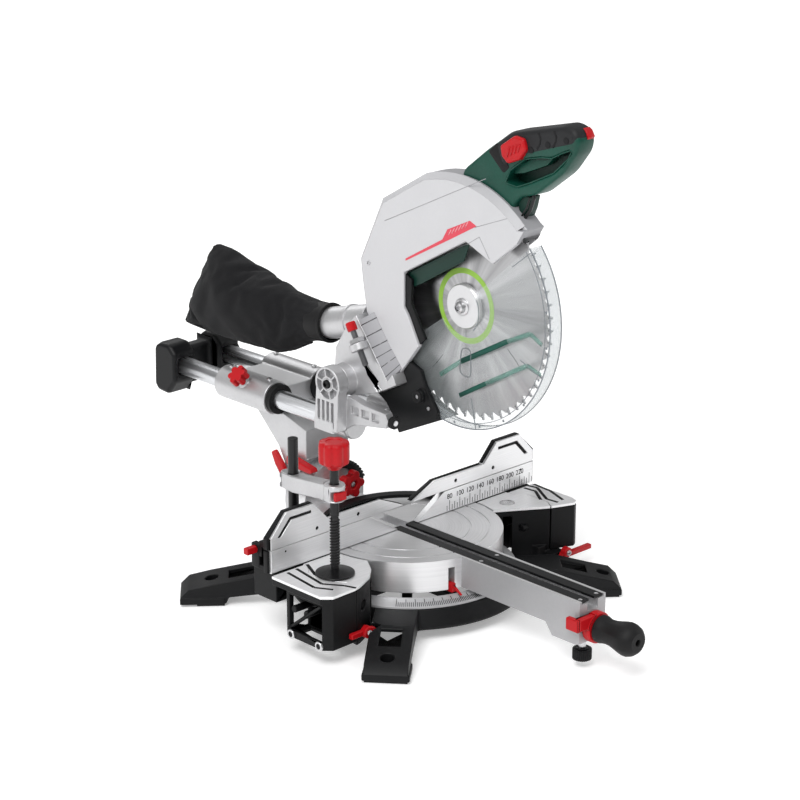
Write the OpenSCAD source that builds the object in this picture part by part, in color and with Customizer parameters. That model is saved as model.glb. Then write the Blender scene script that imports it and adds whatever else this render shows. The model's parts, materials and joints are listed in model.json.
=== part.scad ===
// Sliding compound mitre saw for a bench, 305 mm blade, millimetres, +Z up.
// Origin: on the bench, under the turntable's axis. +X is the operator's right,
// +Y is away from the operator. The blade lies in the plane x = 0 and the fence
// faces lie in the plane y = 0. The frame is drawn with the head raised.

/* [Table] */
// Height of the table surface above the bench
table_z = 100; // [95:1:110]
// Radius of the turntable
turn_r = 130.5; // [125:0.5:131]
// Depth of the turntable's drum
drum_h = 43; // [38:1:46]
// Distance from the turntable's axis to the front of the arm
arm_reach = 340; // [320:5:345]
// Width of the turntable's arm
arm_w = 49; // [46:1:52]
// Width of the slot between the kerf inserts
kerf_w = 10; // [8:1:12]
// Distance of the bench bolts from the middle, left to right
bolt_x = 205; // [200:1:210]
// Distance of the bench bolts from the middle, front to back
bolt_y = 175; // [170:1:180]
// Radius of the bench bolt holes
bolt_r = 4.5; // [3.5:0.5:5]

/* [Fences] */
// Half length of the fence
fence_x = 247; // [240:1:250]
// Height of the lower, fixed fence
fence_low_h = 32.4; // [30:0.1:34]
// Height of the upper, sliding fence above the table
fence_top_h = 79.3; // [76:0.1:82]
// Thickness of the fence plates
fence_t = 10; // [8:0.5:10]

/* [Blade and guards] */
// Blade diameter
blade_d = 305; // [300:1:306]
// Number of teeth
teeth = 56; // [40:1:60]
// Blade axis height at rest
blade_z = 438.5; // [436:0.5:440]
// Blade axis distance in front of the fence at rest
blade_front = 109; // [107:1:111]
// Outer radius of the transparent lower guard
guard_r = 162; // [160:0.5:163]

/* [Slide] */
// Radius of the two slide rails
rail_r = 13.5; // [12:0.5:14]
// Half distance between the rails
rail_x = 42; // [40:1:44]
// Height of the rails
rail_z = 240.8; // [238:0.1:243]
// Height of the chop pivot
pivot_z = 305; // [303:1:307]
// Distance of the chop pivot behind the fence at rest
pivot_y = 75; // [73:1:77]

/* [Hidden] */
$fn = 64;

side = [-1, 1];                    // left, right
run = 0.05;                        // radial running clearance
blade_y = -blade_front;
post_x = -172;                     // the work clamp's post
post_y = 40;
post_r = 7;
clamp_turn = -7.8;                 // the clamp's arm, turned about its post
clamp_l = 96;                      // post to clamp screw
clamp_z = 189;
screw_x = post_x + clamp_l * sin(clamp_turn);
screw_y = post_y - clamp_l * cos(clamp_turn);
rail_front = 62;
rail_rear = 446;
grip_z = 62;
stem_y = -324;
swept_r = turn_r + 3;              // fixed parts keep outside this radius
fence_gap = 0.6;
upper_z = table_z + fence_low_h + fence_gap;

// A sheet outline in (y, z), extruded along X from x0 over a width t
module yz(x0, t) translate([x0, 0, 0]) rotate([90, 0, 90]) linear_extrude(t) children();

// A sheet outline in (x, z), extruded along Y from y0 over a depth t
module xz(y0, t) translate([0, y0 + t, 0]) rotate([90, 0, 0]) linear_extrude(t) children();

// A rod along X, Y or Z from a start point
module rod_x(p, r, t) translate(p) rotate([0, 90, 0]) cylinder(r = r, h = t);
module rod_y(p, r, t) translate(p) rotate([-90, 0, 0]) cylinder(r = r, h = t);
module rod_z(p, r, t) translate(p) cylinder(r = r, h = t);

// The box between two corners
module box(a, b) translate(a) cube(b - a);

// A knob outline with n rounded lobes
module lobed(r, n, lobe) {
    circle(r);
    for (i = [0:n - 1]) rotate(i * 360 / n) translate([r, 0]) circle(lobe);
}

// ---------------------------------------------------------------- base

leg_tip_front = 293;
leg_tip_rear = 313;
bolt_reach = norm([bolt_x, bolt_y]);
leg_w = 58;
foot_w = 62;
leg_angle = atan2(bolt_y, bolt_x);
leg_directions = [leg_angle, 180 - leg_angle, 180 + leg_angle, -leg_angle];
ring_r = 163;
wing_left_outline = [
    [-115, -1], [-193, -1], [-197, -17], [-206, -27], [-206, -68], [-193, -86], [-196, -108],
    [-188, -106], [-158, -92], [-140, -76], [-115, -38]
];
wing_right_outline = [
    [115, -1], [193, -1], [197, -17], [206, -27], [206, -68], [197, -82], [128, -38], [115, -30]
];

// One leg's side view in (distance from the axis, height)
function leg_side(tip) = [
    [120, 16], [120, 42], [151, 42], [205, 43], [tip - 42, 31], [tip - 12, 24], [tip, 12],
    [tip, 3], [250, 3], [246, 12], [200, 16]
];
leg_hollow = [[166, -1], [166, 37], [205, 37], [248, 28], [248, -1]];

module leg(tip) {
    window_start = tip == leg_tip_rear ? 186 : 212;
    difference() {
        union() {
            translate([0, leg_w / 2, 0]) rotate([90, 0, 0])
                linear_extrude(leg_w) polygon(leg_side(tip));
            box([252, -foot_w / 2, 3], [tip, foot_w / 2, 12]);
        }
        translate([0, leg_w / 2 - 6, 0]) rotate([90, 0, 0])
            linear_extrude(leg_w - 12) polygon(leg_hollow);
        box([window_start, -14, 0], [246, 14, 60]);
        translate([bolt_reach, 0, -1]) cylinder(r = bolt_r, h = 60);
        translate([bolt_reach, 0, 12]) cylinder(r = 9, h = 40);
    }
}

module wing_block(outline, low) {
    difference() {
        translate([0, 0, low]) linear_extrude(table_z - 4 - low) polygon(outline);
        translate([0, 0, 15]) cylinder(r = swept_r, h = 100);
    }
}

module base_casting() {
    rod_hole = 5 + run;
    color([0.13, 0.13, 0.14]) difference() {
        union() {
            rotate_extrude() polygon([
                [118, 16], [ring_r - 1, 16], [ring_r, 20], [153, 42], [swept_r + 0.5, 42], [118, 32]
            ]);
            rod_z([0, 0, 16], 38, 34);
            for (a = [0:45:315]) rotate(a) box([34, -7, 18], [122, 7, 30]);
            for (a = leg_directions) rotate(a) leg(sin(a) > 0 ? leg_tip_rear : leg_tip_front);
            difference() {
                union() {
                    wing_block(wing_left_outline, 18);
                    wing_block(wing_right_outline, 18);
                }
                box([-190, -88, 10], [-142, -12, 88]);
                box([140, -52, 10], [190, -12, 88]);
                box([-210, -70, 22], [-188, -12, 57]);
                box([-196, -14, 18], [-150, 1, 57]);
            }
            for (s = side) difference() {
                box([min(s * 135, s * 240), -1, 58], [max(s * 135, s * 240), 44, table_z - 1]);
                box([min(s * 150, s * 230), 6, 50], [max(s * 150, s * 230), 38, table_z - 8]);
                translate([0, 0, 15]) cylinder(r = swept_r, h = 100);
            }
            for (s = side) box([min(s * 138, s * 150), -1, 20], [max(s * 138, s * 150), 44, 60]);
            rod_z([post_x, post_y, 60], 12, table_z - 61);
            box([190, -96, 22], [214, -70, 33.4]);
            box([176, -80, 22], [192, -56, 42]);
        }
        rod_z([0, 0, 0], 25 + run, 100);
        rod_z([post_x, post_y, 50], post_r, 100);
        for (y = [-42, -66]) rod_x([-260, y, 64], rod_hole, 100);
        for (y = [-30, -60]) rod_x([160, y, 70], rod_hole, 100);
        rod_y([-178, -120, 68], 7, 25);
        rod_y([-176, -120, 34], 5 + run, 40);
        box([-216, -121, 22], [-166, -109.6, 46]);
        rod_y([206, -100, 28], 4.5 + run, 40);
    }
}

module foot_pads() {
    color([0.07, 0.07, 0.07]) for (a = leg_directions) rotate(a) difference() {
        box([252, -28, 0], [leg_tip_front - 3, 28, 3]);
        translate([bolt_reach, 0, -1]) cylinder(r = bolt_r, h = 6);
    }
}

module mitre_scale() {
    color([0.78, 0.79, 0.8]) difference() {
        rotate_extrude() polygon([
            [swept_r + 0.5, 42], [151, 42], [150, 45], [137, 52], [swept_r + 0.5, 52]
        ]);
        wing_block(wing_left_outline, 18);
        wing_block(wing_right_outline, 18);
        box([-170, -6, 40], [170, 170, 60]);
    }
}

module wing_plate(outline) {
    difference() {
        translate([0, 0, table_z - 4]) linear_extrude(4) polygon(outline);
        translate([0, 0, 90]) cylinder(r = swept_r, h = 20);
    }
}

module wing_left() {
    color([0.82, 0.83, 0.84]) wing_plate(wing_left_outline);
}

module wing_right() {
    color([0.82, 0.83, 0.84]) difference() {
        wing_plate(wing_right_outline);
        rod_z([163, -31, table_z - 1], 11, 5);
    }
}

// ---------------------------------------------------------------- fences

bridge_r = 122;
module fence_bridge() {
    color([0.12, 0.12, 0.13]) {
        difference() {
            rod_z([0, 0, table_z + fence_gap], bridge_r, 5);
            rod_z([0, 0, table_z], bridge_r - 15, 9);
            box([-200, -200, table_z - 1], [200, 19, table_z + 20]);
        }
        for (s = side) box([min(s * 106, s * 150), 19, table_z + fence_gap],
                           [max(s * 106, s * 150), 33, table_z + fence_gap + 5]);
    }
}

fence_lever_y = 32.5;
fence_lever_z = 127;

// The lower fence of one side: a face plate with a sloping inner end, on a flange
module lower_fence(s) {
    top = table_z + fence_low_h;
    low = table_z + fence_gap;
    difference() {
        union() {
            xz(0, fence_t) polygon([
                [s * 18.4, low], [s * 70, top], [s * fence_x, top], [s * fence_x, low]
            ]);
            box([min(s * 150, s * 240), fence_t, low], [max(s * 150, s * 240), 44, low + 6]);
            box([min(s * 110, s * 150), fence_t, low], [max(s * 110, s * 150), 19, low + 14]);
            for (x = [146, 196, 236]) box([min(s * x, s * (x + 4)), fence_t, low],
                                          [max(s * x, s * (x + 4)), 19, top - 8]);
            box([min(s * 238, s * 246), fence_t, low], [max(s * 238, s * 246), 19, low + 6]);
            box([min(s * 238, s * 246), fence_t, low], [max(s * 238, s * 246), 40, low + 6]);
            box([min(s * 238, s * 246), 25.5, low], [max(s * 238, s * 246), 40, top + 2]);
        }
        rod_x([s > 0 ? 230 : -250, fence_lever_y, fence_lever_z], 4 + run, 20);
        rod_z([post_x, post_y, 90], post_r + 2.5, 60);
        for (x = [158, 214]) rod_z([s * x, 30, 90], 3.2, 40);
    }
}

module lower_fence_left() { color([0.83, 0.84, 0.85]) lower_fence(-1); }
module lower_fence_right() { color([0.83, 0.84, 0.85]) lower_fence(1); }

// The upper fence of one side slides on the lower one, with a raised outer part
module upper_fence(s) {
    top = table_z + fence_top_h;
    mid = table_z + 52.5;
    difference() {
        union() {
            xz(0, fence_t) polygon([
                [s * 8, upper_z], [s * 14, upper_z + 3], [s * 51.6, mid], [s * 147, mid],
                [s * 172.8, top], [s * 220, top], [s * fence_x, top - 30], [s * fence_x, upper_z]
            ]);
            box([min(s * 75, s * fence_x), 19.4, upper_z - 14],
                [max(s * 75, s * fence_x), 24, upper_z + 8]);
            box([min(s * 75, s * fence_x), fence_t, upper_z],
                [max(s * 75, s * fence_x), 20, upper_z + 8]);
        }
        for (x = [92, 166]) rod_y([s * x, -1, upper_z + 10], 2.6, 12);
        xz(-1, 3) polygon([
            [s * 176, top - 8], [s * 214, top - 8], [s * 236, top - 32], [s * 230, top - 32],
            [s * 211, top - 12], [s * 176, top - 12]
        ]);
    }
}

module upper_fence_left() { color([0.83, 0.84, 0.85]) upper_fence(-1); }
module upper_fence_right() { color([0.83, 0.84, 0.85]) upper_fence(1); }

// Red clamp lever of a sliding fence, on a short pin behind the lower fence's end
module fence_lever(s) {
    color([0.8, 0.12, 0.14]) {
        rod_x([s > 0 ? 239 : -247, fence_lever_y, fence_lever_z], 4, 8);
        box([min(s * 247, s * 263), fence_lever_y - 4.5, fence_lever_z - 4.5],
            [max(s * 247, s * 263), fence_lever_y + 4.5, fence_lever_z + 4.5]);
    }
}
module fence_lever_left() fence_lever(-1);
module fence_lever_right() fence_lever(1);

// ---------------------------------------------------------------- bench extensions

ext_left_outline = [
    [-194.2, -4], [-198, -17.5], [-206.8, -27.4], [-206.8, -68.4], [-193.8, -86.4], [-196.8, -108.4],
    [-238, -109.6], [-250, -98], [-250, -4]
];
ext_right_outline = [
    [194.2, -4], [198, -17.5], [206.8, -27.4], [206.8, -68.4], [198.2, -82.8], [232, -96],
    [240, -92], [244, -80], [244, -4]
];

module extension_left() {
    color([0.82, 0.83, 0.84]) translate([0, 0, table_z - 4]) linear_extrude(4)
        polygon(ext_left_outline);
}
module extension_right() {
    color([0.82, 0.83, 0.84]) translate([0, 0, table_z - 4]) linear_extrude(4)
        polygon(ext_right_outline);
}

module extension_frame_left() {
    color([0.13, 0.13, 0.14]) {
        difference() {
            union() {
                translate([0, 0, 88]) linear_extrude(table_z - 92) polygon(ext_left_outline);
                intersection() {
                    translate([0, 0, 24]) linear_extrude(66) polygon(ext_left_outline);
                    box([-248, -120, 20], [-180, -30, 92]);
                }
            }
            box([-243, -103, 29], [-213, -36, 92]);
            box([-260, -98, 35], [-240, -36, 84]);
            box([-237, -97, 20], [-216, -42, 32]);
            box([-240, -38, 30], [-212, -28, 82]);
            box([-216, -84, 30], [-204, -34, 57]);
        }
        yz(-247, 4) polygon([[-34, 33], [-34, 39], [-94, 86], [-100, 86]]);
        for (y = [-42, -66]) rod_x([-246, y, 64], 5, 96);
    }
}

module extension_frame_right() {
    color([0.13, 0.13, 0.14]) {
        difference() {
            union() {
                translate([0, 0, 88]) linear_extrude(table_z - 92) polygon(ext_right_outline);
                intersection() {
                    translate([0, 0, 34]) linear_extrude(56) polygon(ext_right_outline);
                    box([180, -120, 30], [240, -10, 92]);
                }
            }
            box([180, -76, 40], [235, -14, 86]);
        }
        for (y = [-30, -60]) rod_x([162, y, 70], 5, 76);
    }
}

// Red lever that locks an extension's rods, on the front of the base
module extension_lever_left() {
    color([0.8, 0.12, 0.14]) {
        rod_y([-176, -117, 34], 5, 26);
        rod_y([-176, -118, 34], 7.5, 7);
        box([-213, -118, 34], [-176, -111, 41.5]);
    }
}
module extension_lever_right() {
    color([0.8, 0.12, 0.14]) {
        rod_y([206, -104, 28], 4.5, 30);
        rod_y([206, -105, 28], 7, 8);
        box([206, -105, 25], [260, -97, 32]);
    }
}

// ---------------------------------------------------------------- work clamp

module clamp_post() {
    color([0.1, 0.1, 0.1]) rod_z([post_x, post_y, 60], post_r, 201);
}

// Everything on the clamp's arm is drawn along -Y from the post, then turned
module on_clamp() translate([post_x, post_y, 0]) rotate(clamp_turn) children();

module clamp_arm() {
    low = clamp_z + 14;
    high = clamp_z + 37;
    color([0.75, 0.76, 0.77]) on_clamp() difference() {
        union() {
            yz(-10, 20) polygon([
                [15, clamp_z], [15, clamp_z + 22], [-10, clamp_z + 23], [-clamp_l, high],
                [-clamp_l, low], [-12, clamp_z]
            ]);
            rod_z([0, 12, clamp_z], 10, 22);
            rod_z([0, -clamp_l, low], 14, high - low);
        }
        rod_z([0, 0, 100], post_r + run, 200);
        rod_z([0, -clamp_l, 100], 6 + run, 200);
        box([-15, -clamp_l - 15, low + 3], [15, -clamp_l - 6.6, low + 15]);
        rod_x([-20, 16, clamp_z + 11], 2.5, 40);
    }
}

module clamp_release() {
    color([0.8, 0.12, 0.14]) on_clamp()
        box([-9, -clamp_l - 15.5, clamp_z + 17.4], [9, -clamp_l - 10, clamp_z + 28.6]);
}

module clamp_screw() {
    color([0.1, 0.1, 0.1]) {
        rod_z([screw_x, screw_y, table_z + 8], 6, 153);
        for (z = [table_z + 12:6:table_z + 78])
            translate([screw_x, screw_y, z]) cylinder(r1 = 6, r2 = 6.8, h = 1.6);
    }
}

module clamp_pad() {
    color([0.1, 0.1, 0.1]) translate([screw_x, screw_y, table_z + 0.3]) {
        cylinder(r = 26, h = 3);
        translate([0, 0, 3]) cylinder(r1 = 24, r2 = 9, h = 4.7);
    }
}

module clamp_knob() {
    color([0.8, 0.12, 0.14]) translate([screw_x, screw_y, clamp_z + 57]) {
        difference() {
            cylinder(r1 = 9, r2 = 18, h = 12);
            translate([0, 0, -1]) cylinder(r = 6 + run, h = 20);
        }
        translate([0, 0, 12]) difference() {
            linear_extrude(26) lobed(17, 8, 4);
            translate([0, 0, -1]) cylinder(r = 6 + run, h = 5);
        }
    }
}

// ---------------------------------------------------------------- turntable

neck_w = 90;
flange_y = 150;
turn_flange_r = 56;
dial_x = 16;
dial_z = 122;

// Side view of the front arm in (y, z), with its deeper stepped end
arm_side = [
    [-100, table_z], [-arm_reach, table_z], [-arm_reach, 42], [-333, 40], [-293, 40],
    [-281, 56], [-100, 57]
];

module turntable() {
    color([0.8, 0.81, 0.82]) difference() {
        union() {
            rod_z([0, 0, table_z - drum_h], turn_r, drum_h);
            yz(-arm_w / 2, arm_w) polygon(arm_side);
            box([-neck_w / 2, 100, table_z - drum_h], [neck_w / 2, flange_y + 5, table_z - 3]);
            rod_y([0, flange_y, table_z], turn_flange_r, 26);
            rod_z([0, 0, 20], 25, 40);
        }
        for (r = [85, 111]) difference() {
            rod_z([0, 0, table_z - 1], r + 2, 3);
            rod_z([0, 0, table_z - 2], r - 1, 5);
        }
        box([-10, -arm_reach - 1, 84], [10, 62, table_z + 1]);
        box([-20.5, -arm_reach - 1, table_z - 3.6], [20.5, 10.5, table_z + 1]);
        box([-turn_r, 60, table_z - 8], [turn_r, 120, table_z + 30]);
        box([-60, 120, table_z - 3], [60, flange_y, table_z + 60]);
        difference() {
            rod_z([0, 0, 50], turn_r - 8, table_z - 60);
            box([-34, -200, 40], [34, 200, 95]);
            rod_z([0, 0, 40], 40, 60);
        }
        rod_y([0, flange_y - 20, table_z], 12, 60);
        rod_z([0, stem_y, 30], 5 + run, 34);
        rod_y([dial_x, flange_y - 1, dial_z], 6 + run, 14);
        rod_y([0, -arm_reach - 1, grip_z], 7 + run, 40);
        box([-44, -140, 50], [-35, -112, 88]);
    }
}

module kerf_inserts() {
    color([0.2, 0.2, 0.21]) for (s = side) difference() {
        box([min(s * kerf_w / 2, s * 20), -arm_reach + 2, table_z - 3.6],
            [max(s * kerf_w / 2, s * 20), 10, table_z - 0.2]);
        for (y = [-332, -155]) rod_z([s * 15, y, 90], 3, 20);
    }
}

module insert_screws() {
    color([0.75, 0.75, 0.76]) for (s = side) for (y = [-332, -155]) difference() {
        rod_z([s * 15, y, table_z - 3.6], 3, 3.2);
        translate([s * 15, y, table_z - 2]) cylinder(r = 1.4, h = 3, $fn = 6);
    }
}

module mitre_pointer() {
    color([0.8, 0.12, 0.14]) difference() {
        union() {
            box([-43, -129, 54], [-36, -112, 66]);
            yz(-41.2, 3.4) polygon([[-129, 60], [-143, 53.2], [-143, 54.6], [-129, 64]]);
        }
        rod_y([-39.5, -140, 63], 1.2, 13);
    }
}

module bevel_pin() {
    color([0.6, 0.6, 0.62]) rod_y([0, flange_y - 9, table_z], 12, 70);
}

module mitre_grip() {
    color([0.1, 0.1, 0.1]) translate([0, -arm_reach, grip_z]) rotate([90, 0, 0]) {
        difference() {
            rotate_extrude() polygon([
                [0, 14], [18, 14], [19, 20], [15, 32], [16, 42], [22.5, 55], [21.5, 68], [13, 78],
                [0, 78]
            ]);
            translate([0, 0, 66]) cylinder(r = 4, h = 20);
        }
        translate([0, 0, -38]) cylinder(r = 7, h = 52);
    }
}

module detent_lever() {
    color([0.8, 0.12, 0.14]) difference() {
        union() {
            rod_y([0, -arm_reach - 13, grip_z], 21, 12);
            box([-36, -arm_reach - 12, grip_z + 4], [-8, -arm_reach - 3, grip_z + 20]);
            box([-38, -arm_reach - 9, grip_z + 2], [-30, -arm_reach + 12, grip_z + 19]);
        }
        rod_y([0, -arm_reach - 30, grip_z], 7 + run, 60);
        box([-29.9, -arm_reach - 1, 0], [30, -arm_reach + 20, 99]);
    }
}

module foot_stem() {
    color([0.3, 0.3, 0.31]) rod_z([0, stem_y, 20], 5, 30);
}

module foot_knob() {
    color([0.09, 0.09, 0.09]) difference() {
        translate([0, stem_y, 10]) {
            linear_extrude(15) lobed(11.5, 14, 1.7);
            cylinder(r = 9, h = 17);
        }
        rod_z([0, stem_y, 20], 5 + run, 20);
    }
}

// ---------------------------------------------------------------- tilting column

housing_y = 222;
housing_l = 108;
lock_y = 272;
column_side = [
    [208, 60], [210, 148], [222, 170], [276, 221], [326, 226], [326, 250], [housing_y, 250],
    [housing_y, 224], [163, 206], [163, 163], [177, 159], [177, 60]
];

module tilt_column() {
    color([0.76, 0.77, 0.78]) difference() {
        union() {
            rod_y([0, 176.3, table_z], 55.5, 16);
            yz(-40, 80) polygon(column_side);
            for (s = side) rod_y([s * rail_x, housing_y, rail_z], 24, housing_l);
            box([-rail_x, housing_y, 222], [rail_x, 326, 254]);
            box([-40, 190, 114], [-22, 208, 142]);
            translate([-rail_x, lock_y, rail_z]) rotate([0, -45, 0]) cylinder(r = 9, h = 30);
        }
        rod_y([0, 170, table_z], 12 + run, 60);
        for (s = side) {
            rod_y([s * rail_x, 200, rail_z], 17.5, 150);
            rod_y([s * rail_x, housing_y - 9, rail_z], 21.5, 9);
        }
        box([-60, 150, 0], [60, 300, 46]);
        translate([-rail_x, lock_y, rail_z]) rotate([0, -45, 0]) cylinder(r = 5 + run, h = 60);
        rod_x([-60, 200, 128], 4 + run, 40);
        rod_x([-60, 182, 160], 4 + run, 40);
    }
}

module rail_bushes() {
    color([0.08, 0.08, 0.08]) for (s = side) difference() {
        union() {
            rod_y([s * rail_x, housing_y, rail_z], 17.5, housing_l);
            rod_y([s * rail_x, housing_y - 9, rail_z], 21.5, 9);
            rod_y([s * rail_x, housing_y + housing_l, rail_z], 19, 4);
        }
        rod_y([s * rail_x, 190, rail_z], rail_r + run, 200);
    }
}

module rail_lock_knob() {
    color([0.8, 0.12, 0.14]) translate([-rail_x, lock_y, rail_z]) rotate([0, -45, 0]) {
        translate([0, 0, 30.5]) linear_extrude(14) lobed(10, 6, 4.5);
        translate([0, 0, 18]) cylinder(r = 5, h = 14);
    }
}

module bevel_lock_lever() {
    color([0.8, 0.12, 0.14]) {
        rod_x([-48, 200, 128], 4, 22);
        yz(-48, 7) polygon([
            [195, 124], [204, 122], [222, 144], [230, 160], [222, 165], [208, 150], [196, 133]
        ]);
    }
}

module bevel_stop_lever() {
    color([0.8, 0.12, 0.14]) {
        rod_x([-54, 182, 160], 4, 22);
        yz(-54, 13) polygon([
            [136, 154], [142, 151], [176, 152], [190, 154], [190, 166], [176, 165], [140, 159]
        ]);
    }
}

module bevel_dial() {
    color([0.8, 0.12, 0.14]) {
        rod_y([dial_x, 134, dial_z], 6, 26);
        difference() {
            translate([dial_x, 138, dial_z]) rotate([90, 0, 0]) linear_extrude(13) lobed(14, 5, 6);
            rod_y([dial_x, 120, dial_z], 6, 10);
        }
    }
}

// ---------------------------------------------------------------- slide carriage

module slide_rails() {
    color([0.8, 0.81, 0.83]) for (s = side) difference() {
        rod_y([s * rail_x, rail_front, rail_z], rail_r, rail_rear - rail_front);
        rod_y([s * rail_x, rail_front + 6, rail_z], rail_r - 3, rail_rear - rail_front - 12);
    }
}

module rear_cap() {
    color([0.07, 0.07, 0.08]) difference() {
        union() {
            for (s = side) {
                yz(s * rail_x - 20, 40) polygon([
                    [424, 260], [424, 220], [443, 196], [466, 198], [474, 206], [472, 265],
                    [459, 273], [438, 273]
                ]);
            }
            box([-24, 446, 202], [24, 469, 260]);
        }
        for (s = side) rod_y([s * rail_x, 400, rail_z], rail_r, rail_rear - 400);
        box([-18, 456, 212], [18, 480, 250]);
    }
}

// Spoked lug that carries the chop pivot
lug_r = 24;
module lug(x0) {
    difference() {
        union() {
            rod_x([x0, pivot_y, pivot_z], lug_r, 17);
            yz(x0, 17) polygon([[56, 240], [102, 240], [97, 300], [53, 300]]);
        }
        difference() {
            rod_x([x0 - 1, pivot_y, pivot_z], lug_r - 3.5, 9);
            rod_x([x0 - 2, pivot_y, pivot_z], 11, 12);
            for (a = [0:60:120]) translate([x0, pivot_y, pivot_z]) rotate([a + 15, 0, 0])
                box([-2, -lug_r, -1.3], [12, lug_r, 1.3]);
        }
        for (y = [63, 72, 81, 90]) box([x0 - 1, y, 244], [x0 + 5, y + 5, 280]);
        rod_x([x0 - 1, pivot_y, pivot_z], 8, 30);
    }
}

module pivot_bracket() {
    color([0.82, 0.82, 0.83]) {
        difference() {
            union() {
                for (s = side) rod_y([s * rail_x, rail_front, rail_z], 19, 48);
                box([-rail_x, 64, 232], [rail_x, 104, 250]);
                for (s = side) box([min(s * 44, s * 79), 64, 236], [max(s * 44, s * 79), 102, 252]);
                lug(-79);
                mirror([1, 0, 0]) lug(-79);
                yz(-62, 13) polygon([
                    [60, 262], [60, 240], [40, 252], [-22, 262], [-26, 272], [-20, 282], [20, 284],
                    [52, 290]
                ]);
            }
            for (s = side) rod_y([s * rail_x, 50, rail_z], rail_r, 100);
            for (y = [-8, 12, 32]) box([-70, y, 266], [-58, y + 14, 277]);
            rod_y([-55.5, -30, 271], 4, 20);
        }
        for (s = side) rod_y([s * rail_x, rail_front - 5, rail_z], 18, 5);
    }
}

module pivot_pin() {
    color([0.5, 0.5, 0.52]) rod_x([-79, pivot_y, pivot_z], 8, 158);
}

module stop_bumper() {
    color([0.09, 0.09, 0.09]) {
        rod_y([-55.5, -27, 271], 4, 12);
        rod_y([-55.5, -34, 271], 8.5, 7);
    }
}

// ---------------------------------------------------------------- cutting head

// Outline of the upper guard's shell in (y, z): a spine behind the blade and a
// hood over it, open at the lower front
function hood(r, inset) = concat(
    [[-5, 320], [58 - inset, 402], [66 - inset, 448], [69 - inset, 473], [27 - inset, 560 - inset / 2]],
    [for (a = [72:4:132]) [blade_y + r * cos(a), blade_z + r * sin(a)]],
    [[-235, 567], [-223, 548], [-181, 514], [-133, 534], [-20, 470], [-20, 422], [-28, 412],
     [-48, 375]]
);
hood_r = 178;
hood_x = -28;
hood_right = 10;
hood_outline = hood(hood_r, 0);
arm_outline = [
    [62, 283], [92, 290], [99, 312], [96, 345], [72, 384], [50, 404], [31, 394], [-18, 326],
    [-22, 318], [12, 300]
];

module upper_guard() {
    color([0.84, 0.84, 0.86]) difference() {
        union() {
            yz(hood_x + 8, hood_right - hood_x - 8) polygon(hood_outline);
            yz(hood_x, 9) polygon(hood(hood_r - 7, 7));
        }
        rod_x([-20, blade_y, blade_z], guard_r + 4, 28.5);
    }
}

module guard_plate() {
    color([0.1, 0.1, 0.11]) difference() {
        yz(hood_right, 10) polygon([
            [-48, 378], [-28, 412], [-20, 422], [-20, 470], [-133, 534], [-181, 514], [-170, 430],
            [-140, 385], [-100, 372]
        ]);
        rod_x([0, blade_y, blade_z], 14, 40);
    }
}

motor_y = -29;
motor_z = 451;
module gear_case() {
    color([0.14, 0.14, 0.15]) difference() {
        union() {
            rod_x([20, blade_y, blade_z], 40, 22);
            rod_x([20, motor_y, motor_z], 46, 22);
            yz(20, 22) polygon([[blade_y, 478], [motor_y, 497], [motor_y, 405], [blade_y, 398.6]]);
            yz(20, 14) polygon([[-40, 420], [20, 470], [58, 470], [60, 402], [-10, 340]]);
        }
        rod_x([10, blade_y, blade_z], 10 + run, 27);
    }
}

module motor_housing() {
    color([0.1, 0.28, 0.23]) difference() {
        union() {
            rod_x([42, motor_y, motor_z], 44, 62);
            rod_x([104, motor_y, motor_z], 38, 8);
            yz(42, 56) polygon([[-10, 412], [10, 486], [52, 462], [86, 396], [58, 386]]);
        }
        for (a = [0:30:330]) rotate_about_motor(a) box([107, -2, 16], [113, 2, 32]);
    }
}
module rotate_about_motor(a) {
    translate([0, motor_y, motor_z]) rotate([a, 0, 0]) children();
}

module battery_pack() {
    color([0.1, 0.1, 0.11]) translate([46, 62, 384]) rotate([-22, 0, 0]) {
        box([0, 20, -42], [72, 116, -6]);
        box([8, 24, -6], [64, 100, 0]);
        box([4, 116, -38], [68, 121, -12]);
    }
}

chute_outline = [
    [38, 292], [-5, 322], [-27, 349], [-48, 341], [-56, 322], [-80, 290], [-80, 278], [-6, 243],
    [4, 262], [18, 280]
];
module chip_chute() {
    color([0.09, 0.09, 0.1]) difference() {
        union() {
            difference() {
                yz(-24, 46) polygon(chute_outline);
                rod_x([-17.5, blade_y, blade_z], guard_r + 3.5, 60);
            }
            rod_x([-30, -50, 307], 9, 8);
        }
        yz(-50, 100) polygon(hood_outline);
        yz(-50, 100) polygon(arm_outline);
        rod_x([-40, -50, 307], 3, 14);
    }
}

// The depth stop's bolt runs along Z of this frame
module on_stop() translate([-55, 34, 355]) rotate([-30, 0, 0]) children();

module head_arm() {
    color([0.8, 0.8, 0.81]) difference() {
        union() {
            rod_x([-60, pivot_y, pivot_z], 22, 120);
            yz(-44, 84) polygon(arm_outline);
            on_stop() translate([0, 0, 2]) cylinder(r = 12.5, h = 10);
            on_stop() box([0, -6, 2], [11.5, 6, 12]);
        }
        rod_x([-100, pivot_y, pivot_z], 8 + run, 200);
        rod_x([-20, blade_y, blade_z], guard_r + 3.5, 32);
        yz(-50, 100) polygon(hood_outline);
        on_stop() cylinder(r = 4 + run, h = 80, center = true);
        for (i = [0:3]) translate([-45, 58 - i * 11, 352 - i * 14]) rotate([40, 0, 0])
            box([0, -58, 0], [2.6, -6, 1.8]);
        yz(20, 14.5) polygon([[-40, 420], [20, 470], [58, 470], [60, 402], [-10, 340]]);
    }
}

module depth_stop() {
    color([0.7, 0.7, 0.71]) on_stop() {
        translate([0, 0, -20]) cylinder(r = 4, h = 50);
        translate([0, 0, 12.2]) cylinder(r = 9, h = 6, $fn = 6);
        translate([0, 0, 30]) cylinder(r = 7, h = 12);
    }
}

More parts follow.
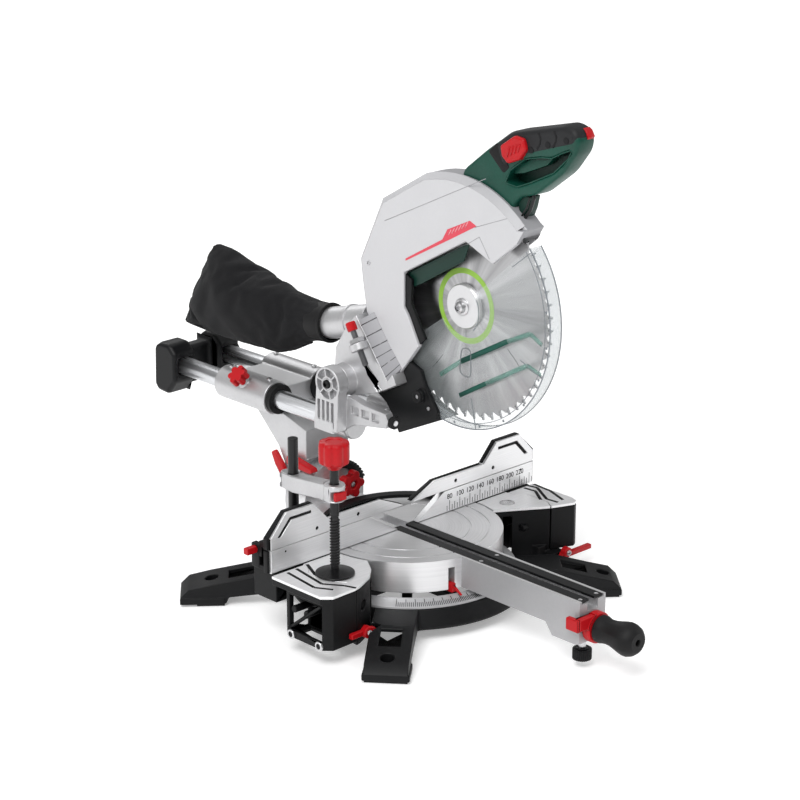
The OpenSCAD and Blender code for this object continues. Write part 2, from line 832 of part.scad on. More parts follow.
port_x = -10;
port_tilt = -15;
module dust_port() {
    color([0.8, 0.8, 0.81]) difference() {
        translate([port_x, 56, 385]) rotate([-90 + port_tilt, 0, 0]) cylinder(r = 22, h = 92);
        translate([port_x, 56, 385]) rotate([-90 + port_tilt, 0, 0])
            translate([0, 0, 46]) cylinder(r = 18, h = 50);
        yz(-50, 100) polygon(hood_outline);
        yz(-50, 100) polygon(arm_outline);
        yz(19, 60) polygon([[-60, 300], [-60, 500], [70, 500], [70, 300]]);
    }
}

// Fabric bag, a closed soft solid with a wide sewn rear edge
module dust_bag() {
    color([0.12, 0.12, 0.13]) hull() {
        translate([port_x, 148, 360]) rotate([-105, 0, 0]) cylinder(r = 25, h = 30, $fn = 32);
        translate([port_x, 235, 332]) scale([0.9, 1, 1]) sphere(r = 36, $fn = 32);
        translate([port_x, 372, 406]) rotate([0, 90, 0]) cylinder(r = 15, h = 44, center = true, $fn = 32);
        translate([port_x, 428, 304]) rotate([0, 90, 0]) cylinder(r = 8, h = 70, center = true, $fn = 32);
    }
}

handle_outline = [
    [-112, 610], [-112, 620], [-157, 656], [-193, 680], [-290, 705], [-303, 702], [-311, 692],
    [-306, 676], [-284, 647], [-238, 612], [-224, 594], [-212, 560]
];
grip_outline = [
    [-184, 632], [-174, 650], [-170, 666], [-198, 684], [-290, 708], [-305, 703], [-311, 693],
    [-304, 683], [-222, 654], [-204, 644]
];
finger_hole = [
    [-196, 628], [-203, 640], [-222, 652], [-250, 661], [-268, 664], [-284, 673], [-298, 677],
    [-272, 651], [-212, 624]
];
trigger_slot = [[-230, 646], [-290, 668], [-290, 684], [-230, 668]];

module handle() {
    color([0.08, 0.3, 0.25]) difference() {
        yz(-16, 32) polygon(handle_outline);
        yz(-30, 60) polygon(grip_outline);
        yz(-30, 60) polygon(finger_hole);
        yz(-9, 18) polygon(trigger_slot);
        yz(-50, 100) polygon(hood_outline);
    }
}

module handle_grip() {
    color([0.1, 0.1, 0.1]) difference() {
        yz(-17, 34) polygon(grip_outline);
        yz(-30, 60) polygon(finger_hole);
        yz(-30, 60) polygon([[-186, 652], [-183, 667], [-209, 684], [-226, 682], [-232, 668],
                             [-220, 652], [-198, 643]]);
        for (y = [-240, -270, -302]) rod_x([-20, y, 682 - (y + 270) * 0.3], 3.2, 6);
        yz(-9, 18) polygon(trigger_slot);
    }
}

module trigger() {
    color([0.1, 0.1, 0.1]) yz(-8, 16) polygon([
        [-231, 664], [-284, 680], [-286, 675], [-272, 664], [-250, 656], [-236, 654], [-231, 657]
    ]);
}

module lock_off_lever() {
    color([0.85, 0.14, 0.14]) yz(-22, 44) polygon([
        [-188, 653], [-185, 666], [-209, 682.5], [-225, 681], [-230, 668], [-219, 653.5], [-198, 645]
    ]);
}

// ---------------------------------------------------------------- blade and lower guard

module saw_blade() {
    tooth = 360 / teeth;
    rim = blade_d / 2;
    color([0.7, 0.71, 0.72]) translate([0, blade_y, blade_z]) rotate([90, 0, 90]) {
        translate([0, 0, -1.1]) linear_extrude(2.2) {
            circle(rim - 8);
            for (i = [0:teeth - 1]) rotate(i * tooth) polygon([
                [rim - 10, -5.5], [rim - 10, 4.5], [rim, 2.8], [rim - 0.6, 0.2], [rim - 6, -1.5]
            ]);
        }
        translate([0, 0, 1.1]) cylinder(r = 26, h = 8);
        translate([0, 0, -8]) cylinder(r = 30, h = 6.9);
        translate([0, 0, -14]) cylinder(r = 9, h = 6, $fn = 6);
        translate([0, 0, 9.1]) cylinder(r = 10, h = 26);
    }
}

guard_start = 140;
guard_span = 185;
module lower_guard() {
    color([0.85, 0.9, 0.9, 0.4]) translate([0, blade_y, blade_z]) rotate([90, 0, 90])
        rotate([0, 0, guard_start]) rotate_extrude(angle = guard_span) polygon([
            [34, -15], [guard_r, -15], [guard_r, 6], [34, 6], [34, 4.4], [guard_r - 1.6, 4.4],
            [guard_r - 1.6, -13.4], [34, -13.4]
        ]);
}

base_casting();
foot_pads();
mitre_scale();
wing_left();
wing_right();
fence_bridge();
lower_fence_left();
lower_fence_right();
clamp_post();
upper_fence_left();
upper_fence_right();
fence_lever_left();
fence_lever_right();
extension_left();
extension_frame_left();
extension_right();
extension_frame_right();
extension_lever_left();
extension_lever_right();
clamp_arm();
clamp_release();
clamp_screw();
clamp_pad();
clamp_knob();
turntable();
kerf_inserts();
insert_screws();
mitre_pointer();
bevel_pin();
mitre_grip();
detent_lever();
foot_stem();
foot_knob();
tilt_column();
rail_bushes();
rail_lock_knob();
bevel_lock_lever();
bevel_stop_lever();
bevel_dial();
slide_rails();
rear_cap();
pivot_bracket();
pivot_pin();
stop_bumper();
head_arm();
upper_guard();
guard_plate();
gear_case();
motor_housing();
battery_pack();
chip_chute();
dust_port();
dust_bag();
handle();
handle_grip();
trigger();
lock_off_lever();
depth_stop();
saw_blade();
lower_guard();
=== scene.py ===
import json
import math

import bmesh
import bpy
from mathutils import Matrix, Vector, noise


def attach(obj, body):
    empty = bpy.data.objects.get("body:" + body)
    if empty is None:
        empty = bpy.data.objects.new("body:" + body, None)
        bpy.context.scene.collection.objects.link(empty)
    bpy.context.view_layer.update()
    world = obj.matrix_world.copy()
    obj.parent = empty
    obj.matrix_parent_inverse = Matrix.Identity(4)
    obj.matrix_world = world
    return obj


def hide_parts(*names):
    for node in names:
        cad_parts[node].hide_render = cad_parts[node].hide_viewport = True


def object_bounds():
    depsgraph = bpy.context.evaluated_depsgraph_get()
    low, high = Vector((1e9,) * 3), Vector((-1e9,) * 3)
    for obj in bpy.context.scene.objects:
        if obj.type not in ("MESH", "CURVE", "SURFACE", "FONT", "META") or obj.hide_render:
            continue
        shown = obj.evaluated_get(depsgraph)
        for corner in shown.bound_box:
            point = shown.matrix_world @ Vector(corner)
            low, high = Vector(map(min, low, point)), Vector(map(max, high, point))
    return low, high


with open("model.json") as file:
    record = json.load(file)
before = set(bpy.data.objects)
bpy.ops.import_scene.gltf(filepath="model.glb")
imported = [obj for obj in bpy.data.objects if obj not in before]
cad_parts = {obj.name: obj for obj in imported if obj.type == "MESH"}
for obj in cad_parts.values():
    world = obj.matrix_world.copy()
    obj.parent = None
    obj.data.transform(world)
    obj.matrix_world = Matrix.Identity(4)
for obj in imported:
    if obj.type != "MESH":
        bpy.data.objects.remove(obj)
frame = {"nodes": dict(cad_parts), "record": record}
cad_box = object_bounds()

MM = 0.001
BODY_OF = {node: body for body, nodes in frame["record"]["behaviour"]["bodies"].items() for node in nodes}

# Driving places in millimetres, as in the CAD model
TABLE_Z = 100
BLADE_Y, BLADE_Z = -109, 438.5
BLADE_R = 152.5
TEETH = 56
GUARD_R = 162
HOOD_X = -28
HOOD_RIGHT = 10
RAIL_X, RAIL_Z, RAIL_R = 42, 240.8, 13.5
RAIL_FRONT, RAIL_REAR = 62, 446
PIVOT_Y, PIVOT_Z = 75, 305
MOTOR_Y, MOTOR_Z = -29, 451
ARM_REACH = 340
POST_X, POST_Y = -172, 40
CLAMP_TURN = math.radians(-7.8)
CLAMP_L = 96
SCREW_X = POST_X + CLAMP_L * math.sin(CLAMP_TURN)
SCREW_Y = POST_Y - CLAMP_L * math.cos(CLAMP_TURN)


# ------------------------------------------------------------ materials

class Nodes:
    """A material's node tree, with short ways to add and link nodes."""

    def __init__(self, name):
        self.material = bpy.data.materials.new(name + "_finish")
        self.material.use_nodes = True
        self.tree = self.material.node_tree
        self.shader = self.tree.nodes["Principled BSDF"]
        self.coords = self.add("ShaderNodeTexCoord").outputs["Object"]

    def add(self, kind, **values):
        node = self.tree.nodes.new(kind)
        for key, value in values.items():
            setattr(node, key, value)
        return node

    def link(self, source, target):
        self.tree.links.new(source, target)

    def noise(self, scale, detail=3, stretch=(1, 1, 1), vector=None):
        mapping = self.add("ShaderNodeMapping")
        mapping.inputs["Scale"].default_value = stretch
        self.link(vector or self.coords, mapping.inputs["Vector"])
        texture = self.add("ShaderNodeTexNoise")
        texture.inputs["Scale"].default_value = scale
        texture.inputs["Detail"].default_value = detail
        self.link(mapping.outputs["Vector"], texture.inputs["Vector"])
        return texture.outputs["Fac"]

    def ramp(self, factor, stops):
        ramp = self.add("ShaderNodeValToRGB")
        elements = ramp.color_ramp.elements
        while len(elements) < len(stops):
            elements.new(0.5)
        for element, (place, color) in zip(elements, stops):
            element.position = place
            element.color = (*color, 1)
        self.link(factor, ramp.inputs["Fac"])
        return ramp.outputs["Color"]

    def range(self, factor, low, high):
        node = self.add("ShaderNodeMapRange")
        node.inputs["To Min"].default_value = low
        node.inputs["To Max"].default_value = high
        self.link(factor, node.inputs["Value"])
        return node.outputs["Result"]

    def bump(self, height, strength, distance=0.0003):
        node = self.add("ShaderNodeBump")
        node.inputs["Strength"].default_value = strength
        node.inputs["Distance"].default_value = distance
        self.link(height, node.inputs["Height"])
        self.link(node.outputs["Normal"], self.shader.inputs["Normal"])

    def math(self, operation, a, b=None):
        node = self.add("ShaderNodeMath", operation=operation)
        for place, value in ((0, a), (1, b)):
            if value is None:
                continue
            if isinstance(value, (int, float)):
                node.inputs[place].default_value = value
            else:
                self.link(value, node.inputs[place])
        return node.outputs["Value"]

    def set(self, **values):
        for key, value in values.items():
            self.shader.inputs[key.replace("_", " ")].default_value = value


def shade(color, share):
    return tuple(min(1, c * share) for c in color)


def plain(name, color, rough, metallic=0.0, grain=700, bump=0.12, spread=0.12, coat=0.0,
          gloss=0.5):
    """A moulded, painted or cast surface: mottled colour, uneven gloss and a fine grain."""
    n = Nodes(name)
    patches = n.noise(14, 5)
    specks = n.noise(260, 2)
    both = n.math("ADD", n.math("MULTIPLY", patches, 0.7), n.math("MULTIPLY", specks, 0.3))
    dark, light = shade(color, 1 - spread), shade(color, 1 + spread)
    n.link(n.ramp(both, [(0.3, dark), (0.7, light)]), n.shader.inputs["Base Color"])
    n.link(n.range(patches, rough - 0.07, rough + 0.09), n.shader.inputs["Roughness"])
    n.bump(n.noise(grain, 2), bump)
    n.set(Metallic=metallic, Coat_Weight=coat, Coat_Roughness=0.25, Specular_IOR_Level=gloss)
    return n.material


def brushed(name, color, rough, stretch, scale=60, bump=0.05, metallic=1.0, vector=None, spread=0.08,
            radial=False):
    """Machined metal: fine lines along one direction. A radial one gets painted sheen, bright streaks about X
    painted into its colour, and its gloss is stretched around X.
    """
    n = Nodes(name)
    lines = n.noise(scale, 4, stretch, vector(n) if vector else None)
    patches = n.noise(9, 4)
    both = n.math("ADD", n.math("MULTIPLY", lines, 0.6), n.math("MULTIPLY", patches, 0.4))
    stops = [(0.3, shade(color, 1 - spread)), (0.7, shade(color, 1 + spread))]
    n.link(n.ramp(both, stops), n.shader.inputs["Base Color"])
    n.link(n.range(both, rough - 0.08, rough + 0.12), n.shader.inputs["Roughness"])
    n.bump(lines, bump, 0.0002)
    n.set(Metallic=metallic)
    if radial:
        # painted sheen: bright streaks about X multiplied into the base colour
        painted_sheen_rays = n.range(n.noise(1, 2, (3.4, 0.4, 0), vector(n)), 0.1, 1.5)
        painted_sheen_mix = n.add("ShaderNodeMix", data_type="RGBA", blend_type="MULTIPLY")
        painted_sheen_mix.inputs["Factor"].default_value = 1
        n.link(n.shader.inputs["Base Color"].links[0].from_socket, painted_sheen_mix.inputs["A"])
        n.link(painted_sheen_rays, painted_sheen_mix.inputs["B"])
        n.link(painted_sheen_mix.outputs["Result"], n.shader.inputs["Base Color"])
        tangent = n.add("ShaderNodeTangent", direction_type="RADIAL", axis="X")
        n.link(tangent.outputs["Tangent"], n.shader.inputs["Tangent"])
        n.set(Anisotropic=0.85)
    return n.material


def around(axis, center):
    """Coordinates (angle, radius, height) about an axis, for turned surfaces."""

    def build(n):
        split = n.add("ShaderNodeSeparateXYZ")
        n.link(n.coords, split.inputs["Vector"])
        first, second, along = {"x": "YZX", "y": "XZY", "z": "XYZ"}[axis]
        u = n.math("SUBTRACT", split.outputs[first], center[0])
        v = n.math("SUBTRACT", split.outputs[second], center[1])
        radius = n.math("SQRT", n.math("ADD", n.math("MULTIPLY", u, u), n.math("MULTIPLY", v, v)))
        angle = n.math("ARCTAN2", v, u)
        joined = n.add("ShaderNodeCombineXYZ")
        n.link(angle, joined.inputs["X"])
        n.link(radius, joined.inputs["Y"])
        n.link(split.outputs[along], joined.inputs["Z"])
        return joined.outputs["Vector"]

    return build


def fabric_material():
    n = Nodes("woven_fabric")
    weave_x = n.add("ShaderNodeTexWave", wave_type="BANDS", bands_direction="Y")
    weave_y = n.add("ShaderNodeTexWave", wave_type="BANDS", bands_direction="Z")
    for wave in (weave_x, weave_y):
        wave.inputs["Scale"].default_value = 420
        wave.inputs["Distortion"].default_value = 1.2
        n.link(n.coords, wave.inputs["Vector"])
    weave = n.math("MULTIPLY", weave_x.outputs["Fac"], weave_y.outputs["Fac"])
    patches = n.noise(22, 6)
    both = n.math("ADD", n.math("MULTIPLY", patches, 0.8), n.math("MULTIPLY", weave, 0.2))
    stops = [(0.2, (0.004, 0.004, 0.005)), (0.55, (0.007, 0.007, 0.008)), (0.8, (0.015, 0.015, 0.017))]
    n.link(n.ramp(both, stops), n.shader.inputs["Base Color"])
    n.link(n.range(patches, 0.72, 0.95), n.shader.inputs["Roughness"])
    n.bump(weave, 0.5, 0.0004)
    n.set(Sheen_Weight=0.04, Sheen_Roughness=0.5, Specular_IOR_Level=0.2)
    return n.material


def clear_material(name, alpha, color, rough=0.08):
    n = Nodes(name)
    haze = n.noise(18, 5)
    n.link(n.ramp(haze, [(0.3, shade(color, 0.94)), (0.7, color)]), n.shader.inputs["Base Color"])
    n.link(n.range(haze, rough, rough + 0.1), n.shader.inputs["Roughness"])
    n.bump(n.noise(40, 3), 0.03)
    n.set(Alpha=alpha, IOR=1.5, Coat_Weight=0.5)
    return n.material


BLACK_CAST = plain(
    "black_casting", (0.005, 0.0052, 0.0058), 0.48, grain=900, bump=0.3, spread=0.35, gloss=0.2)
BLACK_PLASTIC = plain(
    "black_plastic", (0.0045, 0.0048, 0.0055), 0.42, grain=1400, bump=0.15, spread=0.35, gloss=0.21)
RUBBER = plain("soft_rubber", (0.006, 0.006, 0.0065), 0.58, grain=1100, bump=0.3, spread=0.35, gloss=0.25)
GRIP_RUBBER = plain(
    "grip_rubber", (0.011, 0.0115, 0.013), 0.55, grain=1100, bump=0.35, spread=0.35, gloss=0.3)
BLACK_STEEL = plain("black_steel", (0.0055, 0.0055, 0.006), 0.32, grain=500, bump=0.08, gloss=0.36)
RED = plain(
    "red_plastic", (0.44, 0.005, 0.009), 0.36, grain=1300, bump=0.1, coat=0.03, spread=0.12, gloss=0.22)
GREEN = plain("green_plastic", (0.0035, 0.054, 0.036), 0.38, grain=1300, bump=0.12, spread=0.25, gloss=0.28)
# a darker copy of the green: the trigger and plates, and the painted shade that fills the handle's well
DEEP_GREEN_AND_PAINTED_SHADE = plain(
    "deep_green_and_painted_shade", (0.0015, 0.024, 0.016), 0.45, grain=1300, bump=0.12, spread=0.22, gloss=0.3)
COVER = plain(
    "silver_cover", (0.53, 0.53, 0.545), 0.4, grain=1500, bump=0.06, spread=0.025, coat=0.1, gloss=0.4)
# a darker copy of the cover's colour: painted shade on the hood's top band and on the arm's shoulder, and the
# colour of the hood's seams
COVER_SEAM_AND_PAINTED_SHADE = plain(
    "silver_cover_seam_and_painted_shade", (0.3, 0.3, 0.315), 0.42, grain=1500, bump=0.06, spread=0.03, gloss=0.4)
COVER_PAINTED_HALF_SHADE = plain(
    "silver_cover_painted_half_shade", (0.43, 0.43, 0.445), 0.38, grain=1500, bump=0.06, spread=0.03, gloss=0.4)
PINK = plain("stripe_print", (0.62, 0.06, 0.09), 0.42, grain=1500, bump=0.03, spread=0.05, gloss=0.3)
PALE_PRINT = plain("pale_print", (0.72, 0.28, 0.31), 0.42, grain=1500, bump=0.03, spread=0.05, gloss=0.3)
LIME = plain("lime_print", (0.26, 0.47, 0.06), 0.42, grain=1500, bump=0.04, spread=0.08, gloss=0.3)
WHITE_METAL = plain(
    "bright_flange", (0.62, 0.62, 0.63), 0.3, metallic=0.6, grain=900, bump=0.04, spread=0.04)
INK = plain("scale_ink", (0.009, 0.009, 0.010), 0.6, grain=1500, bump=0.03, gloss=0.2)
DARK_GREEN_PRINT = plain("dark_green_print", (0.006, 0.07, 0.05), 0.45, grain=1500, bump=0.03, gloss=0.3)
CAST_ALU = plain(
    "cast_aluminium", (0.54, 0.54, 0.55), 0.4, metallic=0.75, grain=650, bump=0.28, spread=0.08)
FENCE_ALU = brushed("fence_aluminium", (0.8, 0.8, 0.81), 0.34, (1, 12, 90), 14, metallic=0.8, spread=0.1)
TOP_ALU = brushed("machined_top", (0.88, 0.88, 0.89), 0.34, (1, 60, 8), 14, metallic=0.6, spread=0.1)
CAST_SIDE_PAINTED_SHADE = plain("cast_side_painted_shade", (0.4, 0.4, 0.41), 0.46, metallic=0.35, grain=650, bump=0.25, spread=0.06)
SCALE_ALU = plain(
    "scale_aluminium", (0.42, 0.42, 0.43), 0.42, metallic=0.3, grain=900, bump=0.05, spread=0.05)
TURNED_ALU = brushed(
    "turned_aluminium", (0.73, 0.73, 0.74), 0.31, (0.4, 900, 300), 1, metallic=0.85,
    vector=around("z", (0, 0)), spread=0.12)
RAIL_STEEL = brushed(
    "rail_steel", (0.64, 0.65, 0.67), 0.27, (60, 0.5, 60), 5, metallic=1, bump=0.012, spread=0.05)
STEEL = plain("zinc_steel", (0.6, 0.6, 0.61), 0.28, metallic=1, grain=500, bump=0.08)
BLADE_STEEL = brushed(
    "blade_steel", (0.5, 0.5, 0.51), 0.3, (60, 12, 1), 1, metallic=1, bump=0.02,
    vector=around("x", (BLADE_Y * MM, BLADE_Z * MM)), spread=0.14, radial=True)
# dark steel for the depth stop bolt, and painted shade in the arm shoulder's cast grooves
DARK_STEEL_AND_PAINTED_SHADE = plain("dark_steel_and_painted_shade", (0.12, 0.12, 0.125), 0.3, metallic=0.8, grain=700, bump=0.08)
CARBIDE = plain("carbide_tip", (0.34, 0.34, 0.35), 0.25, metallic=1, grain=900, bump=0.05)
FABRIC = fabric_material()
CLEAR = clear_material("clear_guard", 0.1, (0.62, 0.67, 0.68))
CLEAR_RIM_PAINTED_SHADE = clear_material("clear_guard_rim_painted_shade", 0.34, (0.5, 0.54, 0.56), 0.12)
CLEAR_EDGE_PAINTED_SHADE = clear_material("clear_guard_edge_painted_shade", 0.9, (0.2, 0.22, 0.24), 0.1)
CLEAR_PRINT = clear_material("clear_guard_print", 0.35, (0.05, 0.3, 0.22), 0.4)


# ------------------------------------------------------------ making pieces


def placed(name, data):
    """A new object in the scene."""
    obj = bpy.data.objects.new(name, data)
    bpy.context.scene.collection.objects.link(obj)
    return obj


def settle(obj, body, material):
    """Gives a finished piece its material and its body."""
    obj.data.materials.clear()
    obj.data.materials.append(material)
    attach(obj, body)
    return obj


def bake(obj):
    """Applies the modifiers to the mesh."""
    graph = bpy.context.evaluated_depsgraph_get()
    mesh = bpy.data.meshes.new_from_object(obj.evaluated_get(graph))
    obj.modifiers.clear()
    obj.data = mesh
    return obj


def from_bmesh(name, bm, smooth_angle=35):
    mesh = bpy.data.meshes.new(name)
    bmesh.ops.recalc_face_normals(bm, faces=bm.faces)
    bm.to_mesh(mesh)
    bm.free()
    for stale in ("custom_normal", "sharp_face"):
        if mesh.attributes.get(stale):
            mesh.attributes.remove(mesh.attributes[stale])
    obj = placed(name, mesh)
    if smooth_angle:
        mesh.shade_smooth()
        mesh.set_sharp_from_angle(angle=math.radians(smooth_angle))
    return obj


def round_edges(obj, width, segments, limit, **settings):
    """Rounds the edges sharper than limit degrees by width in millimetres."""
    modifier = obj.modifiers.new("round", "BEVEL")
    modifier.width = width * MM
    modifier.segments = segments
    modifier.limit_method = "ANGLE"
    modifier.angle_limit = math.radians(limit)
    for key, value in settings.items():
        setattr(modifier, key, value)
    bake(obj)


def bevelled(obj, width, segments=3):
    """Rounds the sharp edges of a made piece."""
    round_edges(obj, width, segments, 32, use_clamp_overlap=True, miter_outer="MITER_ARC")
    obj.data.shade_smooth()
    obj.data.set_sharp_from_angle(angle=math.radians(35))
    return obj


def softened(node, width, material, segments=2, clamp=False):
    """Stands for a CAD node: the same shape with its sharp edges rounded."""
    bm = bmesh.new()
    bm.from_mesh(frame["nodes"][node].data)
    bmesh.ops.remove_doubles(bm, verts=bm.verts, dist=0.00002)
    bmesh.ops.dissolve_degenerate(bm, edges=bm.edges, dist=0.00002)
    bmesh.ops.dissolve_limit(bm, angle_limit=math.radians(0.6), verts=bm.verts, edges=bm.edges)
    obj = from_bmesh(node + "_skin", bm)
    round_edges(obj, width, segments, 34, use_clamp_overlap=clamp, loop_slide=False, harden_normals=True)
    settle(obj, BODY_OF[node], material)
    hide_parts(node)
    return obj


def two_tone(obj, material, chosen):
    """Gives the faces that chosen(polygon) picks a second material."""
    obj.data.materials.append(material)
    for face in obj.data.polygons:
        if chosen(face):
            face.material_index = 1
    return obj


def slab(bm, outline, x0, x1, place=None):
    """Adds an outline in (y, z) millimetres, extruded from x0 to x1. place maps (y, z, x)
    to a point, and is a sheet across X by default."""
    place = place or (lambda y, z, x: Vector((x, y, z)))
    low = [bm.verts.new(place(y, z, x0) * MM) for y, z in outline]
    high = [bm.verts.new(place(y, z, x1) * MM) for y, z in outline]
    bm.faces.new(low[::-1])
    bm.faces.new(high)
    count = len(outline)
    for i in range(count):
        j = (i + 1) % count
        bm.faces.new((low[i], low[j], high[j], high[i]))


def skin(bm, rings, caps=True):
    """Joins each closed ring of corners to the next one, and closes both ends."""
    for one, two in zip(rings, rings[1:]):
        for i, corner in enumerate(one):
            j = (i + 1) % len(one)
            bm.faces.new((corner, one[j], two[j], two[i]))
    if caps:
        bm.faces.new(rings[0])
        bm.faces.new(rings[-1][::-1])


BLOCK_FACES = ((3, 2, 1, 0), (4, 5, 6, 7), (0, 1, 5, 4), (1, 2, 6, 5), (2, 3, 7, 6), (3, 0, 4, 7))


def block(bm, points):
    """Adds a block from its eight corners in millimetres: four around one end, then the other four."""
    corners = [bm.verts.new(point * MM) for point in points]
    for face in BLOCK_FACES:
        bm.faces.new([corners[k] for k in face])


def facing_front(x, z, y):
    """Place an (x, z) outline on a plane that faces along Y."""
    return Vector((x, y, z))


def lying(x, y, z):
    """Place an (x, y) outline on a level plane."""
    return Vector((x, y, z))


def prism(name, outline, x0, x1, material, body, bevel=0.8, place=None, segments=3):
    bm = bmesh.new()
    slab(bm, outline, x0, x1, place)
    obj = from_bmesh(name, bm)
    if bevel:
        bevelled(obj, bevel, segments)
    return settle(obj, body, material)


def lathe(bm, profile, base, axis, steps=48):
    """Adds a body of revolution: profile in (radius, height) along axis from base, in millimetres."""
    turn = Vector(axis).to_track_quat("Z", "Y")
    rings = []
    for radius, height in profile:
        if radius < 1e-6:
            rings.append([bm.verts.new((Vector(base) + turn @ Vector((0, 0, height))) * MM)])
            continue
        ring = []
        for i in range(steps):
            a = 2 * math.pi * i / steps
            local = Vector((radius * math.cos(a), radius * math.sin(a), height))
            ring.append(bm.verts.new((Vector(base) + turn @ local) * MM))
        rings.append(ring)
    for lower, upper in zip(rings, rings[1:]):
        for i in range(steps):
            j = (i + 1) % steps
            corners = [lower[i % len(lower)], lower[j % len(lower)], upper[j % len(upper)],
                       upper[i % len(upper)]]
            corners = list(dict.fromkeys(corners))
            if len(corners) > 2:
                bm.faces.new(corners)


def drum(radius, low, high):
    """The profile of a plain solid cylinder, for lathe."""
    return [(0, low), (radius, low), (radius, high), (0, high)]


def turned(name, profile, base, axis, material, body, steps=48, smooth=35):
    bm = bmesh.new()
    lathe(bm, profile, base, axis, steps)
    return settle(from_bmesh(name, bm, smooth), body, material)


def arc(center, radius, start, end, steps):
    """Points on an arc in a plane, with angles in degrees."""
    out = []
    for i in range(steps + 1):
        a = math.radians(start + (end - start) * i / steps)
        out.append((center[0] + radius * math.cos(a), center[1] + radius * math.sin(a)))
    return out


def rounded(points, radius, steps=5):
    """The outline with each corner rounded; radius is one number or one for each corner."""
    out = []
    count = len(points)
    for i, p in enumerate(points):
        r = radius[i] if isinstance(radius, (list, tuple)) else radius
        a, b = Vector(points[i - 1]), Vector(points[(i + 1) % count])
        p = Vector(p)
        to_a, to_b = a - p, b - p
        reach = min(r, to_a.length * 0.45, to_b.length * 0.45)
        start, end = p + to_a.normalized() * reach, p + to_b.normalized() * reach
        for k in range(steps + 1):
            t = k / steps
            q = start * (1 - t) ** 2 + p * 2 * t * (1 - t) + end * t * t
            out.append((q.x, q.y))
    return out


def socket_screws(name, places, body, material=STEEL):
    """Button-head screws with a hex socket, all in one piece. Each place is (point, axis, radius)."""
    bm = bmesh.new()
    for point, axis, r in places:
        h = 2.6 * r / 4
        profile = [(0, -h), (r * 0.92, -h), (r, -h * 0.5), (r, h * 0.25), (r * 0.86, h * 0.75), (r * 0.5, h)]
        lathe(bm, profile, point, axis, 24)
        lathe(bm, [(r * 0.5, h), (r * 0.46, h * 0.2), (0, h * 0.2)], point, axis, 6)
    return settle(from_bmesh(name, bm, 30), body, material)


def marks(name, bars, body, material, place, low, high):
    """Many thin bars, printed or engraved: each an outline on the plane that place gives."""
    bm = bmesh.new()
    for outline in bars:
        slab(bm, outline, low, high, place)
    return settle(from_bmesh(name, bm, 0), body, material)


def bar(a, b, width):
    """A thin straight bar from a to b."""
    a, b = Vector(a), Vector(b)
    side = (b - a).normalized()
    across = Vector((-side.y, side.x)) * width / 2
    return [tuple(a + across), tuple(a - across), tuple(b - across), tuple(b + across)]


def strokes(points, width):
    """Bars along a line of points, one for each length of it that isn't nothing."""
    return [bar(p, q, width) for p, q in zip(points, points[1:]) if (Vector(p) - Vector(q)).length > 0.01]


def words(name, text, size, matrix, body, material, depth=0.15):
    """Raised numbers for a scale."""
    curve = bpy.data.curves.new(name, "FONT")
    curve.body = text
    curve.size = size * MM
    curve.extrude = depth * MM
    curve.align_x = "CENTER"
    maker = placed(name + "_maker", curve)
    graph = bpy.context.evaluated_depsgraph_get()
    mesh = bpy.data.meshes.new_from_object(maker.evaluated_get(graph))
    bpy.data.objects.remove(maker)
    obj = placed(name, mesh)
    obj.data.transform(matrix)
    return settle(obj, body, material)


# ------------------------------------------------------------ base and table

def base_pieces():
    softened("base_casting", 1.6, BLACK_CAST)
    softened("foot_pads", 0.6, RUBBER)
    softened("mitre_scale", 0.5, SCALE_ALU)
    softened("wing_left", 0.6, TOP_ALU)
    softened("wing_right", 0.6, TOP_ALU)
    softened("fence_bridge", 0.5, BLACK_CAST)
    softened("clamp_post", 1.2, BLACK_STEEL)
    bars, outer = [], 149.4
    for degrees in range(-50, 51):
        a = math.radians(degrees - 90)
        inner = outer - (10.5 if degrees % 5 == 0 else 6)
        bars.append(bar(*[(r * math.cos(a), r * math.sin(a)) for r in (outer, inner)], 0.8))
    low_z, high_z, low_radius, high_radius = 45, 52, 150, 137
    slope = (high_z - low_z) / (low_radius - high_radius)

    def on_cone(x, y, lift):
        """Place an (x, y) outline on the scale's sloping face."""
        z = low_z + (low_radius - math.hypot(x, y)) * slope
        return Vector((x, y, z + lift))

    marks("mitre_scale_marks", bars, "base", INK, on_cone, -0.5, 0.5)


